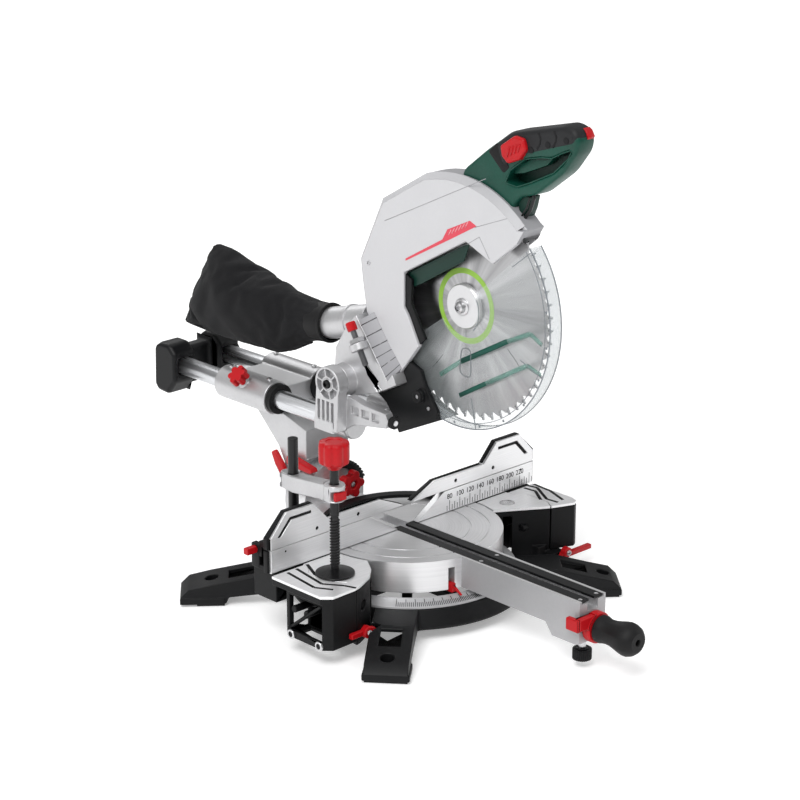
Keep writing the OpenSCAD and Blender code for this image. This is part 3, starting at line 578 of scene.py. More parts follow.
def fences():
    for side, label in ((-1, "left"), (1, "right")):
        body = label + "_fence"
        for node, home in (("lower_fence_", "base"), ("upper_fence_", body)):
            obj = softened(node + label, 0.7, FENCE_ALU)
            two_tone(obj, BLACK_CAST, lambda f: f.center.y > 0.0052 or f.normal.y > 0.4)
        softened("fence_lever_" + label, 1.2, RED)
        rim = 1.0
        end = side * (250 + rim)
        upper = [(side * 8, 134), (side * 14, 137), (side * 51.6, 152.5), (side * 147, 152.5),
                 (side * 172.8, 179.3 + rim), (side * 220, 179.3 + rim), (end, 149.6), (end, 133.6)]
        prism("fence_back_" + label, upper, 3.4, 10.8, BLACK_CAST, body, 0.4, facing_front)
        lower = [(side * 200, 101.2), (side * 200, 131.8), (end, 131.8), (end, 101.2)]
        prism("fence_end_" + label, lower, 3.4, 10.8, BLACK_CAST, "base", 0.4, facing_front)
        prism("fence_end_post_" + label,
              [(side * 237.4, 101.2), (side * 237.4, 134), (side * 246.6, 134), (side * 246.6, 101.2)],
              25, 40.4, BLACK_CAST, "base", 1.2, facing_front)
        top = TABLE_Z + 79.3
        line = [(side * 176, top - 10), (side * 212.5, top - 10), (side * 233, top - 32)]
        marks("fence_slot_" + label, strokes(line, 4.6), body, INK, facing_front, 1.2, 2.4)
        bm = bmesh.new()
        for x in (92, 166):
            lathe(bm, drum(3.7, 0, 1), (side * x, 1.4, 143.4), (0, 1, 0), 24)
        settle(from_bmesh("fence_holes_" + label, bm), body, INK)
        turned("fence_dot_" + label, drum(1.4, 0, 0.4), (side * 222, -0.12, 126), (0, 1, 0), INK, "base", 20)
    bars = []
    for step in range(75, 246, 5):
        height = 15 if step % 20 == 0 else 11 if step % 10 == 0 else 8
        bars.append(bar((step, 102), (step, 102 + height), 0.8))
    marks("fence_scale_ticks", bars, "base", INK, facing_front, -0.12, 0.2)
    for step in range(80, 221, 20):
        upright = Matrix.Rotation(math.radians(90), 4, "X")
        matrix = Matrix.Translation(Vector((step, -0.1, 119.5)) * MM) @ upright
        words("fence_number_%d" % step, str(step), 10.5, matrix, "base", INK)


def extensions():
    for label in ("left", "right"):
        softened("extension_" + label, 0.6, TOP_ALU)
        softened("extension_frame_" + label, 1.2, BLACK_CAST)
        softened("extension_lever_" + label, 1.4, RED)
    screw_z = 29.5
    for y, label in ((-40, "rear"), (-94, "front")):
        turned("extension_rod_end_" + label, [(4, -2), (4, 0.8), (6, 0.8), (6.6, 0.2), (6.6, -2)],
               (-250, y, screw_z), (-1, 0, 0), STEEL, "left_extension", 40)
        turned("extension_rod_bore_" + label, drum(4.1, -0.4, 0), (-250, y, screw_z), (-1, 0, 0),
               BLACK_PLASTIC, "left_extension", 40)
    left = [[(-227, -9), (-235, -70), (-222, -92)], [(-210, -7), (-220, -68), (-203, -92), (-197, -108)],
            [(-190, -6), (-206, -40), (-202, -73)]]
    right = [[(191, -3), (232, -3), (236, -20), (213, -60), (215, -80)], [(243, -7), (240, -42), (227, -78)],
             [(222, -8), (224, -28), (205, -56)]]
    for label, lines in (("left", left), ("right", right)):
        bars = [one for line in lines for one in strokes(line, 4.6)]
        marks("extension_grooves_" + label, bars, label + "_extension", INK, lying, TABLE_Z - 0.4,
              TABLE_Z + 0.1)
    turned("wing_emblem", [(0, 0), (10.6, 0), (10.6, 0.6), (9.6, 1.1), (7.6, 1.1), (7.2, 0.7), (0, 0.7)],
           (163, -31, TABLE_Z - 1.0), (0, 0, 1), STEEL, "base")
    softened("clamp_pad", 0.8, BLACK_STEEL)
    # round hubs with a screw at the two extension levers
    for label, x, y, z, r in (("left", -186, -119, 38, 8.2), ("right", 208, -106, 34, 7.6)):
        body = label + "_extension_lever"
        turned("lever_hub_" + label, [(0, -6), (r, -6), (r, 1.4), (r - 1.2, 2.6), (0, 2.6)], (x, y, z),
               (0, -1, 0), RED, body, 40)
        socket_screws("lever_screw_" + label, [((x, y - 2.8, z), (0, -1, 0), 4)], body)


def turntable_pieces():
    obj = softened("turntable", 0.5, TURNED_ALU, clamp=True)
    # painted shade: the arm's upright faces get a darker, duller copy of the aluminium
    two_tone(obj, CAST_SIDE_PAINTED_SHADE, lambda face: abs(face.normal.z) < 0.6 and face.center.y / MM < -128)
    softened("kerf_inserts", 0.5, BLACK_PLASTIC)
    softened("insert_screws", 0.3, STEEL)
    softened("mitre_pointer", 0.4, RED)
    softened("bevel_pin", 0.8, STEEL)
    softened("bevel_dial", 1.6, RED)
    softened("foot_stem", 0.4, STEEL)
    socket_screws("dial_screw", [((16, 129, 122), (0, -1, 0), 4)], "bevel_selector")
    segment = arc((0, TABLE_Z), 54, 20, 80, 14) + arc((0, TABLE_Z), 45, 80, 20, 14)
    prism("bevel_rack", segment, 143, 150, BLACK_PLASTIC, "table", 0.5, facing_front)
    bm = bmesh.new()
    for k in range(9):
        a = math.radians(24 + 6.4 * k)
        tooth = [(r * math.cos(a), TABLE_Z + r * math.sin(a)) for r in (50, 57.5)]
        slab(bm, bar(*tooth, 3), 143.4, 149.6, facing_front)
    settle(from_bmesh("bevel_rack_teeth", bm, 0), "table", BLACK_PLASTIC)


def foot_knob():
    bm = bmesh.new()
    count, outer = 28, 13
    outline = []
    for i in range(count * 2):
        a = math.pi * i / count
        radius = outer if i % 2 else outer - 1.5
        outline.append((radius * math.cos(a), -324 + radius * math.sin(a)))
    slab(bm, outline, 10.2, 24.8, lying)
    lathe(bm, [(0, 24.6), (9, 24.6), (9, 26.6), (7.5, 27), (0, 27)], (0, -324, 0), (0, 0, 1), 32)
    obj = bevelled(from_bmesh("foot_knob_skin", bm), 0.5, 2)
    settle(obj, "front_foot_knob", BLACK_PLASTIC)
    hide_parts("foot_knob")


def mitre_grip():
    axis, base = (0, -1, 0), (0, -ARM_REACH, 62)
    profile = [(0, 14), (16.6, 14), (18.2, 15.4), (18.6, 19), (17.2, 24), (16.4, 30), (17, 37), (18.8, 45),
               (21, 53), (22.3, 60), (22.1, 65), (20, 71), (16, 76), (12.6, 78), (5, 78), (4.2, 77), (4, 67),
               (0, 67)]
    bm = bmesh.new()
    lathe(bm, profile, base, axis, 80)
    middle = Vector(base) * MM
    for v in bm.verts:
        offset = Vector((v.co.x - middle.x, 0, v.co.z - middle.z))
        along = (middle.y - v.co.y) / MM
        if offset.length > 0.006 and 18 < along < 76:
            a = math.atan2(offset.z, offset.x)
            facet = math.cos(math.pi / 8) / math.cos((a + math.pi / 8) % (math.pi / 4) - math.pi / 8)
            share = 0.5 * math.sin(math.pi * (along - 18) / 58)
            k = 1 + (facet * 1.02 - 1) * share
            v.co.x, v.co.z = middle.x + offset.x * k, middle.z + offset.z * k
    obj = settle(from_bmesh("mitre_grip_skin", bm, 24), "grip", RUBBER)
    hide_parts("mitre_grip")
    turned("mitre_grip_shaft", drum(7, -37, 14), base, axis, STEEL, "grip")
    softened("detent_lever", 1.8, RED)
    bm = bmesh.new()
    lathe(bm, [(7.3, 1.6), (20, 1.6), (21, 2.6), (21, 12), (19.6, 13.6), (7.3, 13.6)], base, axis, 48)
    settle(from_bmesh("detent_collar", bm), "detent", RED)


# ------------------------------------------------------------ work clamp

def clamp_pieces():
    softened("clamp_arm", 2.0, CAST_ALU, 3)
    softened("clamp_release", 1.4, RED)
    bm = bmesh.new()
    lathe(bm, drum(5.2, 108, 261), (SCREW_X, SCREW_Y, 0), (0, 0, 1), 32)
    steps_round, pitch, low, high = 24, 4, 112, 178
    turns = (high - low) / pitch
    rows = []
    for i in range(int(turns * steps_round) + 1):
        a = 2 * math.pi * i / steps_round
        z = low + pitch * i / steps_round
        ring = []
        for radius, lift in ((5.1, -1.5), (6.7, -0.35), (6.7, 0.35), (5.1, 1.5)):
            point = Vector((SCREW_X + radius * math.cos(a), SCREW_Y + radius * math.sin(a), z + lift))
            ring.append(bm.verts.new(point * MM))
        rows.append(ring)
    for one, two in zip(rows, rows[1:]):
        for k in range(3):
            bm.faces.new((one[k], two[k], two[k + 1], one[k + 1]))
    obj = settle(from_bmesh("clamp_screw_skin", bm), "clamp_spindle", BLACK_STEEL)
    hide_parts("clamp_screw")
    turned("clamp_screw_neck", [(5.2, 181), (6, 182), (6, 260), (5.2, 261)], (SCREW_X, SCREW_Y, 0),
           (0, 0, 1), BLACK_STEEL, "clamp_spindle")
    knob_base = Vector((SCREW_X, SCREW_Y, 246))
    bm = bmesh.new()
    count, steps = 8, 96
    layers = [(0, 7.4, 0), (0.6, 8.2, 0), (5, 12.4, 0.2), (8.4, 18, 0.7), (9.8, 20, 1), (13, 20.8, 1),
              (33, 20.8, 1), (36.4, 19.8, 1), (38, 17.6, 0.8), (38, 11, 0.2), (37, 10, 0), (37, 0.01, 0)]
    rings = []
    for height, radius, lobes in layers:
        ring = []
        for i in range(steps):
            a = 2 * math.pi * i / steps
            dip = (1 + math.cos(a * count)) ** 2 * 0.55 * lobes
            r = radius - dip if radius > 1 else radius
            ring.append(bm.verts.new((knob_base + Vector((r * math.cos(a), r * math.sin(a), height))) * MM))
        rings.append(ring)
    skin(bm, rings, caps=False)
    bm.faces.new(rings[0][::-1])
    obj = settle(from_bmesh("clamp_knob_skin", bm, 45), "clamp_handwheel", RED)
    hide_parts("clamp_knob")


# ------------------------------------------------------------ column and slide

def column_pieces():
    softened("tilt_column", 1.6, CAST_ALU)
    softened("rail_bushes", 0.8, RUBBER)
    softened("rail_lock_knob", 1.4, RED, 3)
    softened("bevel_lock_lever", 2.2, RED, 3)
    softened("bevel_stop_lever", 2.0, RED, 3)
    softened("rear_cap", 6.5, BLACK_PLASTIC, 5)
    softened("pivot_bracket", 1.0, CAST_ALU)
    softened("pivot_pin", 0.8, STEEL)
    softened("stop_bumper", 0.8, RUBBER)
    turned("bumper_core", [(0, 0), (4, 0), (4, 1), (3.2, 1.6), (0, 1.6)], (-55.5, -33.4, 271), (0, -1, 0),
           STEEL, "carriage")
    places = []
    for side in (-1, 1):
        for y in (236, 318):
            places.append(((side * 42, y, 264.6), (0, 0, 1), 4.2))
    socket_screws("housing_screws", places, "column")
    places = [((-79.2, PIVOT_Y, PIVOT_Z), (-1, 0, 0), 6.4), ((79.2, PIVOT_Y, PIVOT_Z), (1, 0, 0), 6.4)]
    socket_screws("pivot_screws", places, "carriage", BLACK_STEEL)


def rails():
    for side, label in ((-1, "left"), (1, "right")):
        bm = bmesh.new()
        steps, grooves = 96, 12
        rows = []
        ends = [(RAIL_FRONT, 0.6), (RAIL_FRONT + 0.6, 1), (RAIL_REAR - 0.6, 1), (RAIL_REAR, 0.6)]
        for y, full in ends:
            ring = []
            for i in range(steps):
                a = 2 * math.pi * i / steps
                dip = 0.16 * max(0.0, math.cos(a * grooves)) ** 10
                r = (RAIL_R - 0.06 - dip) - (1 - full) * 1.5
                point = Vector((side * RAIL_X + r * math.cos(a), y, RAIL_Z + r * math.sin(a)))
                ring.append(bm.verts.new(point * MM))
            rows.append(ring)
        skin(bm, rows)
        obj = settle(from_bmesh("slide_rail_" + label, bm, 50), "carriage", RAIL_STEEL)
        if side < 0:
            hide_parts("slide_rails")
        turned("rail_plug_" + label, [(0, -2.4), (8.4, -2.4), (9.4, -1.8), (9.4, 0.2), (0, 0.2)],
               (side * RAIL_X, RAIL_FRONT, RAIL_Z), (0, 1, 0), COVER, "carriage")


# ------------------------------------------------------------ cutting head

def by_blade(radius, angle):
    """The (y, z) at a radius from the blade's axis, at an angle from the rear upward."""
    return BLADE_Y + radius * math.cos(angle), BLADE_Z + radius * math.sin(angle)


def hood_edge(radius, inset):
    """The hood's back and top edge in (y, z), pulled in by inset."""
    back = [(-5, 320), (58 - inset, 402), (66 - inset, 448), (69 - inset, 473), (27 - inset, 560 - inset / 2)]
    return back + [by_blade(radius, math.radians(a)) for a in range(72, 133, 4)]


def upper_guard():
    obj = softened("upper_guard", 1.6, COVER, 4)

    def over_the_top(face):
        """Painted shade: the band over the top and down the back, given a darker copy of the cover's colour
        for the shade it lies in compared with the sides.
        """
        y, z = face.center.y / MM - BLADE_Y, face.center.z / MM - BLADE_Z
        return abs(face.normal.x) < 0.72 and math.hypot(y, z) > GUARD_R and z > -20

    two_tone(obj, COVER_SEAM_AND_PAINTED_SHADE, over_the_top)
    # the broad chamfer between the side and the top, in a mid-grey copy of the cover's colour: painted shade
    bm = bmesh.new()
    rows = []
    near, far, root = hood_edge(170.4, 7.6), hood_edge(178.4, -0.4), hood_edge(168, 10)
    for a, b, c in zip(near, far, root):
        rows.append([bm.verts.new(Vector((x, y, z)) * MM)
                     for x, (y, z) in ((HOOD_X - 0.3, a), (HOOD_X + 8.4, b), (HOOD_X + 9.4, b),
                                       (HOOD_X + 1.5, c))])
    skin(bm, rows)
    settle(from_bmesh("hood_chamfer", bm, 24), "head", COVER_PAINTED_HALF_SHADE)
    lines = [bar((16, 533), (-168, 622), 0.9), bar((-150, 556), (-206, 578), 0.8)]
    lines += strokes([(-136, 531), (-158, 545), (-176, 520)], 0.8)
    marks("hood_seams", lines, "head", COVER_SEAM_AND_PAINTED_SHADE, None, HOOD_X - 0.1, HOOD_X + 0.5)
    stripe = [(-24, 487), (-24, 490), (-92, 529), (-101, 544), (-141, 563), (-153, 558), (-110, 534)]
    prism("hood_stripe", stripe, HOOD_X - 0.3, HOOD_X + 0.3, PINK, "head", 0)
    bars = [bar((-103 - k * 6, 537 + k * 3.2), (-108 - k * 6, 545 + k * 3.2), 1.4) for k in range(6)]
    marks("hood_stripe_bars", bars, "head", PALE_PRINT, None, HOOD_X - 0.45, HOOD_X + 0.2)
    socket_screws("hood_screws", [((HOOD_X - 0.2, 46, 470), (-1, 0, 0), 2.6)], "head")
    # what is seen just inside the cut-out: black below, the dark green plate above
    black = [(-20, 468), (-20, 424), (-28, 414), (-48, 377), (-58, 386), (-37, 420), (-31, 430), (-32, 462)]
    prism("hood_inner_lip", black, HOOD_X + 3, HOOD_X + 7.6, BLACK_PLASTIC, "head", 0.6)
    green = [(-20, 468), (-32, 452), (-44, 458), (-122, 504), (-133, 531)]
    prism("hood_green_plate", green, HOOD_X + 8.4, HOOD_X + 10.4, DEEP_GREEN_AND_PAINTED_SHADE, "head", 0.3)


def inner_guard():
    softened("guard_plate", 0.8, BLACK_PLASTIC)
    strip = [(-26, 462), (-26, 446), (-118, 497), (-110, 508)]
    prism("guard_print", strip, HOOD_RIGHT - 1.4, HOOD_RIGHT - 0.4, DARK_GREEN_PRINT, "head", 0)


def saw_blade():
    center = Vector((0, BLADE_Y, BLADE_Z))
    pitch = 2 * math.pi / TEETH
    # one tooth: (share of the pitch, depth below the tips)
    tooth = [(0.00, 0.8), (0.10, 2.6), (0.42, 5.2), (0.60, 8.4), (0.74, 10.2), (0.88, 9.4), (0.955, 6.6),
             (0.985, 0.6)]
    outline = []
    for i in range(TEETH):
        a = i * pitch
        outline += [(a + share * pitch, BLADE_R - depth) for share, depth in tooth]
    bm = bmesh.new()

    def around_disc(x, round_at=None):
        """Corners around the disc: along the teeth, or at one radius."""
        corners = []
        for a, r in outline:
            r = round_at or r
            corners.append(bm.verts.new((center + Vector((x, r * math.cos(a), r * math.sin(a)))) * MM))
        return corners

    sides = [(around_disc(x), around_disc(x, BLADE_R - 14), around_disc(x, 24)) for x in (-0.95, 0.95)]
    (left_rim, _, left_hub), (right_rim, _, right_hub) = sides
    count = len(outline)
    for i in range(count):
        j = (i + 1) % count
        for rim, ring, hub in sides:
            bm.faces.new((rim[i], rim[j], ring[j], ring[i]))
            bm.faces.new((ring[i], ring[j], hub[j], hub[i]))
        bm.faces.new((left_rim[i], left_rim[j], right_rim[j], right_rim[i]))
        bm.faces.new((left_hub[i], left_hub[j], right_hub[j], right_hub[i]))
    obj = settle(from_bmesh("saw_blade_skin", bm, 30), "blade", BLADE_STEEL)
    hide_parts("saw_blade")
    bm = bmesh.new()
    for i in range(TEETH):
        a = i * pitch + 0.985 * pitch
        outward = Vector((0, math.cos(a), math.sin(a)))
        along = Vector((0, -math.sin(a), math.cos(a)))
        tip = ((BLADE_R - 7.4, 0), (BLADE_R - 0.2, 0.4), (BLADE_R - 0.7, 2.4), (BLADE_R - 7, 2))
        block(bm, [center + Vector((x, 0, 0)) + outward * r + along * t
                   for x in (-1.15, 1.15) for r, t in tip])
    settle(from_bmesh("blade_tips", bm, 0), "blade", CARBIDE)
    for x, label in ((-1.0, "left"), (1.0, "right")):
        axis = (math.copysign(1, x), 0, 0)
        turned("blade_ring_" + label, [(43, -0.2), (43, 0.12), (50.5, 0.12), (50.5, -0.2)],
               (x, BLADE_Y, BLADE_Z), axis, LIME, "blade", 96, 30)
    turned("blade_flange", [(0, 0), (30, 0), (30, 4.4), (28.6, 6.2), (12, 6.8), (0, 6.8)],
           (-1.1, BLADE_Y, BLADE_Z), (-1, 0, 0), WHITE_METAL, "blade", 64)
    turned("blade_flange_inner", [(0, 0), (26, 0), (26, 7), (24, 8), (10, 8), (10, 34), (0, 34)],
           (1.1, BLADE_Y, BLADE_Z), (1, 0, 0), STEEL, "blade", 64)
    turned("arbor_washer", [(0, 0), (11.5, 0), (11.5, 1.6), (10.4, 2.2), (0, 2.2)],
           (-7.9, BLADE_Y, BLADE_Z), (-1, 0, 0), STEEL, "blade", 48)
    socket_screws("arbor_bolt", [((-11.4, BLADE_Y, BLADE_Z), (-1, 0, 0), 8)], "blade", STEEL)
    slots = []
    for k in range(4):
        a = math.radians(30 + 90 * k)
        slots += strokes([by_blade(r, a + (r - 96) * 0.002) for r in (86, 96, 106, 116)], 0.9)
    marks("blade_slots", slots, "blade", INK, None, -1.05, 1.05)


def guard_sector(bm, start, span, inner, outer, x0, x1, steps):
    """A closed ring sector about the blade's axis."""
    rows = []
    for i in range(steps + 1):
        a = math.radians(start + span * i / steps)
        rows.append([bm.verts.new(Vector((x, *by_blade(r, a))) * MM)
                     for r, x in ((inner, x0), (outer, x0), (outer, x1), (inner, x1))])
    skin(bm, rows)


def lower_guard():
    start, span = 140, 185
    bm = bmesh.new()
    guard_sector(bm, start, span, 34, GUARD_R - 1.6, -15, -14, 90)
    guard_sector(bm, start, span, 34, GUARD_R - 1.6, 5, 6, 90)
    obj = settle(from_bmesh("lower_guard_faces", bm, 30), "guard", CLEAR)
    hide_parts("lower_guard")
    # painted shade: the rim band is greyer and less clear than the faces, for its edge-on look
    bm = bmesh.new()
    guard_sector(bm, start, span, GUARD_R - 1.6, GUARD_R, -15, 6, 90)
    settle(from_bmesh("lower_guard_rim", bm, 30), "guard", CLEAR_RIM_PAINTED_SHADE)
    # painted shade: dark lines along the clear guard's edges, ribs and slot, with its rivets in the same
    # colour
    bm = bmesh.new()
    guard_sector(bm, start, span, GUARD_R - 1.2, GUARD_R + 0.2, -15.5, -14.2, 90)
    guard_sector(bm, start, span, GUARD_R - 1.2, GUARD_R + 0.2, 5.2, 6.4, 90)
    guard_sector(bm, start, span, 153, 153.8, -15.4, -14.8, 90)
    guard_sector(bm, start + 12, 70, 36, 37.4, -15.4, -14.8, 40)
    for degrees in (start + 2, start + 62, start + 118, start + span - 2):
        a = math.radians(degrees)
        slab(bm, bar(by_blade(120, a), by_blade(160, a), 1), -15.5, -14.7)
    for k in range(9):
        a = math.radians(start + 30 + 17 * k)
        lathe(bm, drum(1.6, 0, 0.8), (-15, *by_blade(157.4, a)), (-1, 0, 0), 14)
    settle(from_bmesh("lower_guard_edges", bm, 30), "guard", CLEAR_EDGE_PAINTED_SHADE)
    solid = [bar((-114, 367), (-197, 413), 7), bar((-112, 320), (-160, 348), 6)]
    faint = [one for line in ([(-197, 413), (-237, 432), (-257, 422)], [(-114, 367), (-76, 340)],
                              [(-160, 348), (-232, 389), (-256, 382)]) for one in strokes(line, 6)]
    marks("guard_marks", solid, "guard", DARK_GREEN_PRINT, None, -15.3, -14.9)
    marks("guard_marks_faint", faint, "guard", CLEAR_PRINT, None, -15.3, -14.9)
    slot_edge = rounded([(-115, 386), (-112, 350), (-133, 348), (-132, 388)], 9, 6)
    marks("guard_slot_edge", strokes(slot_edge + slot_edge[:1], 1.1), "guard", CLEAR_EDGE_PAINTED_SHADE, None, -15.4, -14.8)


def chute():
    softened("chip_chute", 1.6, BLACK_PLASTIC, 3)
    turned("chute_roller", [(3.2, 0), (7.6, 0), (8.4, 0.8), (8.4, 3), (7.6, 3.6), (3.2, 3.6)],
           (-30, -50, 307), (-1, 0, 0), RUBBER, "head")
    socket_screws("chute_screws", [((-31.4, -50, 307), (-1, 0, 0), 3.1), ((-24.4, -2, 262), (-1, 0, 0), 2.8),
                                   ((-24.4, -64, 292), (-1, 0, 0), 2.6)], "head")


def head_pieces():
    softened("head_arm", 1.4, CAST_ALU, 3)
    # the arm's side slopes in to meet the hood
    bm = bmesh.new()
    rows = []
    for arm_edge, hood_side in (((50, 393), (36, 404)), ((20, 353), (6, 364)), ((-6, 320), (-17, 338))):
        rows.append([bm.verts.new(Vector((x, y, z)) * MM)
                     for x, (y, z) in ((-43.8, arm_edge), (HOOD_X - 0.4, hood_side), (-26, hood_side),
                                       (-26, arm_edge))])
    skin(bm, rows)
    edges = [[v.co.copy() for v in row[:2]] for row in rows]
    # painted shade: the sloping shoulder gets the darker copy of the cover's colour
    settle(bevelled(from_bmesh("arm_shoulder", bm), 0.8, 2), "head", COVER_SEAM_AND_PAINTED_SHADE)
    # the shallow cast lines which run down it, as dark strips: painted shade in the grooves
    bm = bmesh.new()
    for upper, lower in zip(edges, edges[1:]):
        lift = (upper[1] - upper[0]).cross(lower[0] - upper[0]).normalized() * 0.25 * MM
        lift = lift if lift.x < 0 else -lift
        for share in (0.16, 0.5, 0.84):
            corners = [upper[side].lerp(lower[side], share + step)
                       for side, step in ((0, -0.012), (0, 0.012), (1, 0.012), (1, -0.012))]
            top = [bm.verts.new(c + lift) for c in corners]
            low = [bm.verts.new(c - lift) for c in corners]
            bm.faces.new(top)
            bm.faces.new(low[::-1])
            for k in range(4):
                m = (k + 1) % 4
                bm.faces.new((top[k], low[k], low[m], top[m]))
    settle(from_bmesh("arm_shoulder_lines", bm, 0), "head", DARK_STEEL_AND_PAINTED_SHADE)
    softened("gear_case", 2.4, BLACK_PLASTIC, 3)
    softened("dust_port", 1.0, CAST_ALU)
    turned("dust_port_bead", [(21.6, 38), (23.4, 39), (23.8, 42), (23.4, 45), (21.6, 46)], (-10, 56, 385),
           (0, 0.9659, -0.2588), CAST_ALU, "head", 64)
    bm = bmesh.new()
    axis = Vector((0, 0.5, 0.8660254))
    base = Vector((-55, 34, 355))
    lathe(bm, [(0, -20), (3.2, -20), (4, -19), (4, 29.9), (0, 29.9)], base, axis, 32)
    for k in range(12):
        lathe(bm, [(3.9, -18 + k * 1.5), (4.35, -17.5 + k * 1.5), (3.9, -17 + k * 1.5)], base, axis, 32)
    obj = settle(from_bmesh("depth_stop_bolt", bm), "stop_screw", DARK_STEEL_AND_PAINTED_SHADE)
    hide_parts("depth_stop")
    nut = [(4, 12.4), (9.6, 12.4), (10.4, 13.2), (10.4, 17.6), (9.6, 18.4), (4, 18.4)]
    turned("depth_stop_nut", nut, base, axis, STEEL, "stop_screw", 6)
    turned("depth_stop_cap", [(0, 29.8), (6.6, 29.8), (7, 30.6), (7, 40.6), (6, 42), (0, 42)], base, axis,
           RED, "stop_screw", 40)


def motor():
    center = (0, MOTOR_Y, MOTOR_Z)
    shell = [(0, 42), (44, 42), (44, 60), (43.4, 61), (43.4, 64), (44, 65), (44, 96), (42.6, 100), (40, 104),
             (36, 108), (34, 110.4), (18, 111.6), (0, 111.6)]
    obj = turned("motor_shell", shell, center, (1, 0, 0), GREEN, "head", 72)
    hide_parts("motor_housing")
    neck = [(-10, 412), (10, 486), (52, 462), (84, 396), (58, 386)]
    prism("motor_neck", rounded(neck, 10), 42, 97, GREEN, "head", 4, None, 4)
    bm = bmesh.new()
    for k in range(18):
        a = 2 * math.pi * k / 18
        turn = Matrix.Rotation(a, 4, "X")
        for low, high, x0, x1 in ((19, 32, 109.4, 112), (36.4, 41.4, 103.4, 108.6)):
            block(bm, [turn @ Vector((x, y, z)) + Vector(center) for x in (x0, x1)
                       for y, z in ((-1.3, low), (1.3, low), (1.3, high), (-1.3, high))])
    settle(from_bmesh("motor_vents", bm, 0), "head", BLACK_PLASTIC)
    turned("motor_band", [(43.6, 70), (44.6, 70.6), (44.6, 81.4), (43.6, 82)], center, (1, 0, 0),
           BLACK_PLASTIC, "head", 72)
    places, screws_at = [], 39.6
    for k in range(4):
        a = math.radians(45 + 90 * k)
        place = (112 - 5.4, MOTOR_Y + screws_at * math.cos(a), MOTOR_Z + screws_at * math.sin(a))
        places.append((place, (1, 0, 0), 2.6))
    socket_screws("motor_screws", places, "head")
    softened("battery_pack", 2.6, BLACK_PLASTIC, 4)
    tilt = Matrix.Rotation(math.radians(-22), 4, "X")
    origin = Vector((46, 62, 384))
    bm = bmesh.new()
    for x0, x1, y0, y1, z0, z1 in ((72, 73, 34, 108, -34, -14), (12, 60, 120.6, 122.4, -32, -18)):
        block(bm, [origin + tilt @ Vector((x, y, z)) for x in (x0, x1)
                   for y, z in ((y0, z0), (y1, z0), (y1, z1), (y0, z1))])
    settle(bevelled(from_bmesh("battery_panels", bm), 0.4, 2), "head", GREEN)


# ------------------------------------------------------------ handle

HANDLE = [(-112, 604), (-114, 622), (-157, 656), (-193, 681), (-288, 705), (-302, 703), (-312, 692),
          (-309, 676), (-286, 646), (-240, 611), (-214, 604), (-203, 589), (-201, 579),
          (-178, 591), (-156, 599.5), (-134, 605)]
FINGER_HOLE = [(-190, 619), (-198, 636), (-222, 654), (-250, 661), (-268, 663), (-284, 672), (-301, 679),
               (-295, 667), (-271, 645), (-232, 626), (-210, 617)]


def loop_piece(name, outline, hole, half, crown, material, body, steps=7):
    """A handle loop with a rounded section: the outline and its hole pull in toward both sides."""
    bm = bmesh.new()
    outer = rounded(outline, 9, 4)
    inner = rounded(hole, 7, 4) if hole else None

    def shrink(points, amount):
        """Moves each point inward by amount."""
        out = []
        count = len(points)
        area = sum(points[i][0] * points[(i + 1) % count][1] - points[(i + 1) % count][0] * points[i][1]
                   for i in range(count))
        sign = 1 if area > 0 else -1
        for i in range(count):
            a, b = Vector(points[i - 1]), Vector(points[(i + 1) % count])
            along = (b - a).normalized()
            inward = Vector((-along.y, along.x)) * sign
            out.append(tuple(Vector(points[i]) + inward * amount))
        return out

    layers = []
    for k in range(steps + 1):
        a = math.pi * k / steps - math.pi / 2
        x = half - crown + crown * abs(math.sin(a))
        x = math.copysign(x, math.sin(a))
        inset = crown * (1 - math.cos(a))
        layers.append((x, inset))
    outer_rings = [[bm.verts.new(Vector((x, y, z)) * MM) for y, z in shrink(outer, inset)]
                   for x, inset in layers]
    rings = [outer_rings]
    if inner:
        rings.append([[bm.verts.new(Vector((x, y, z)) * MM) for y, z in shrink(inner, -inset * 0.6)]
                      for x, inset in layers])
    for group in rings:
        skin(bm, group, caps=False)
    for end in (0, -1):
        edges = []
        for group in rings:
            ring = group[end]
            edges += [bm.edges.get(pair) for pair in zip(ring, ring[1:] + ring[:1])]
        bmesh.ops.triangle_fill(bm, use_beauty=True, edges=edges)
    return settle(from_bmesh(name, bm, 40), body, material)


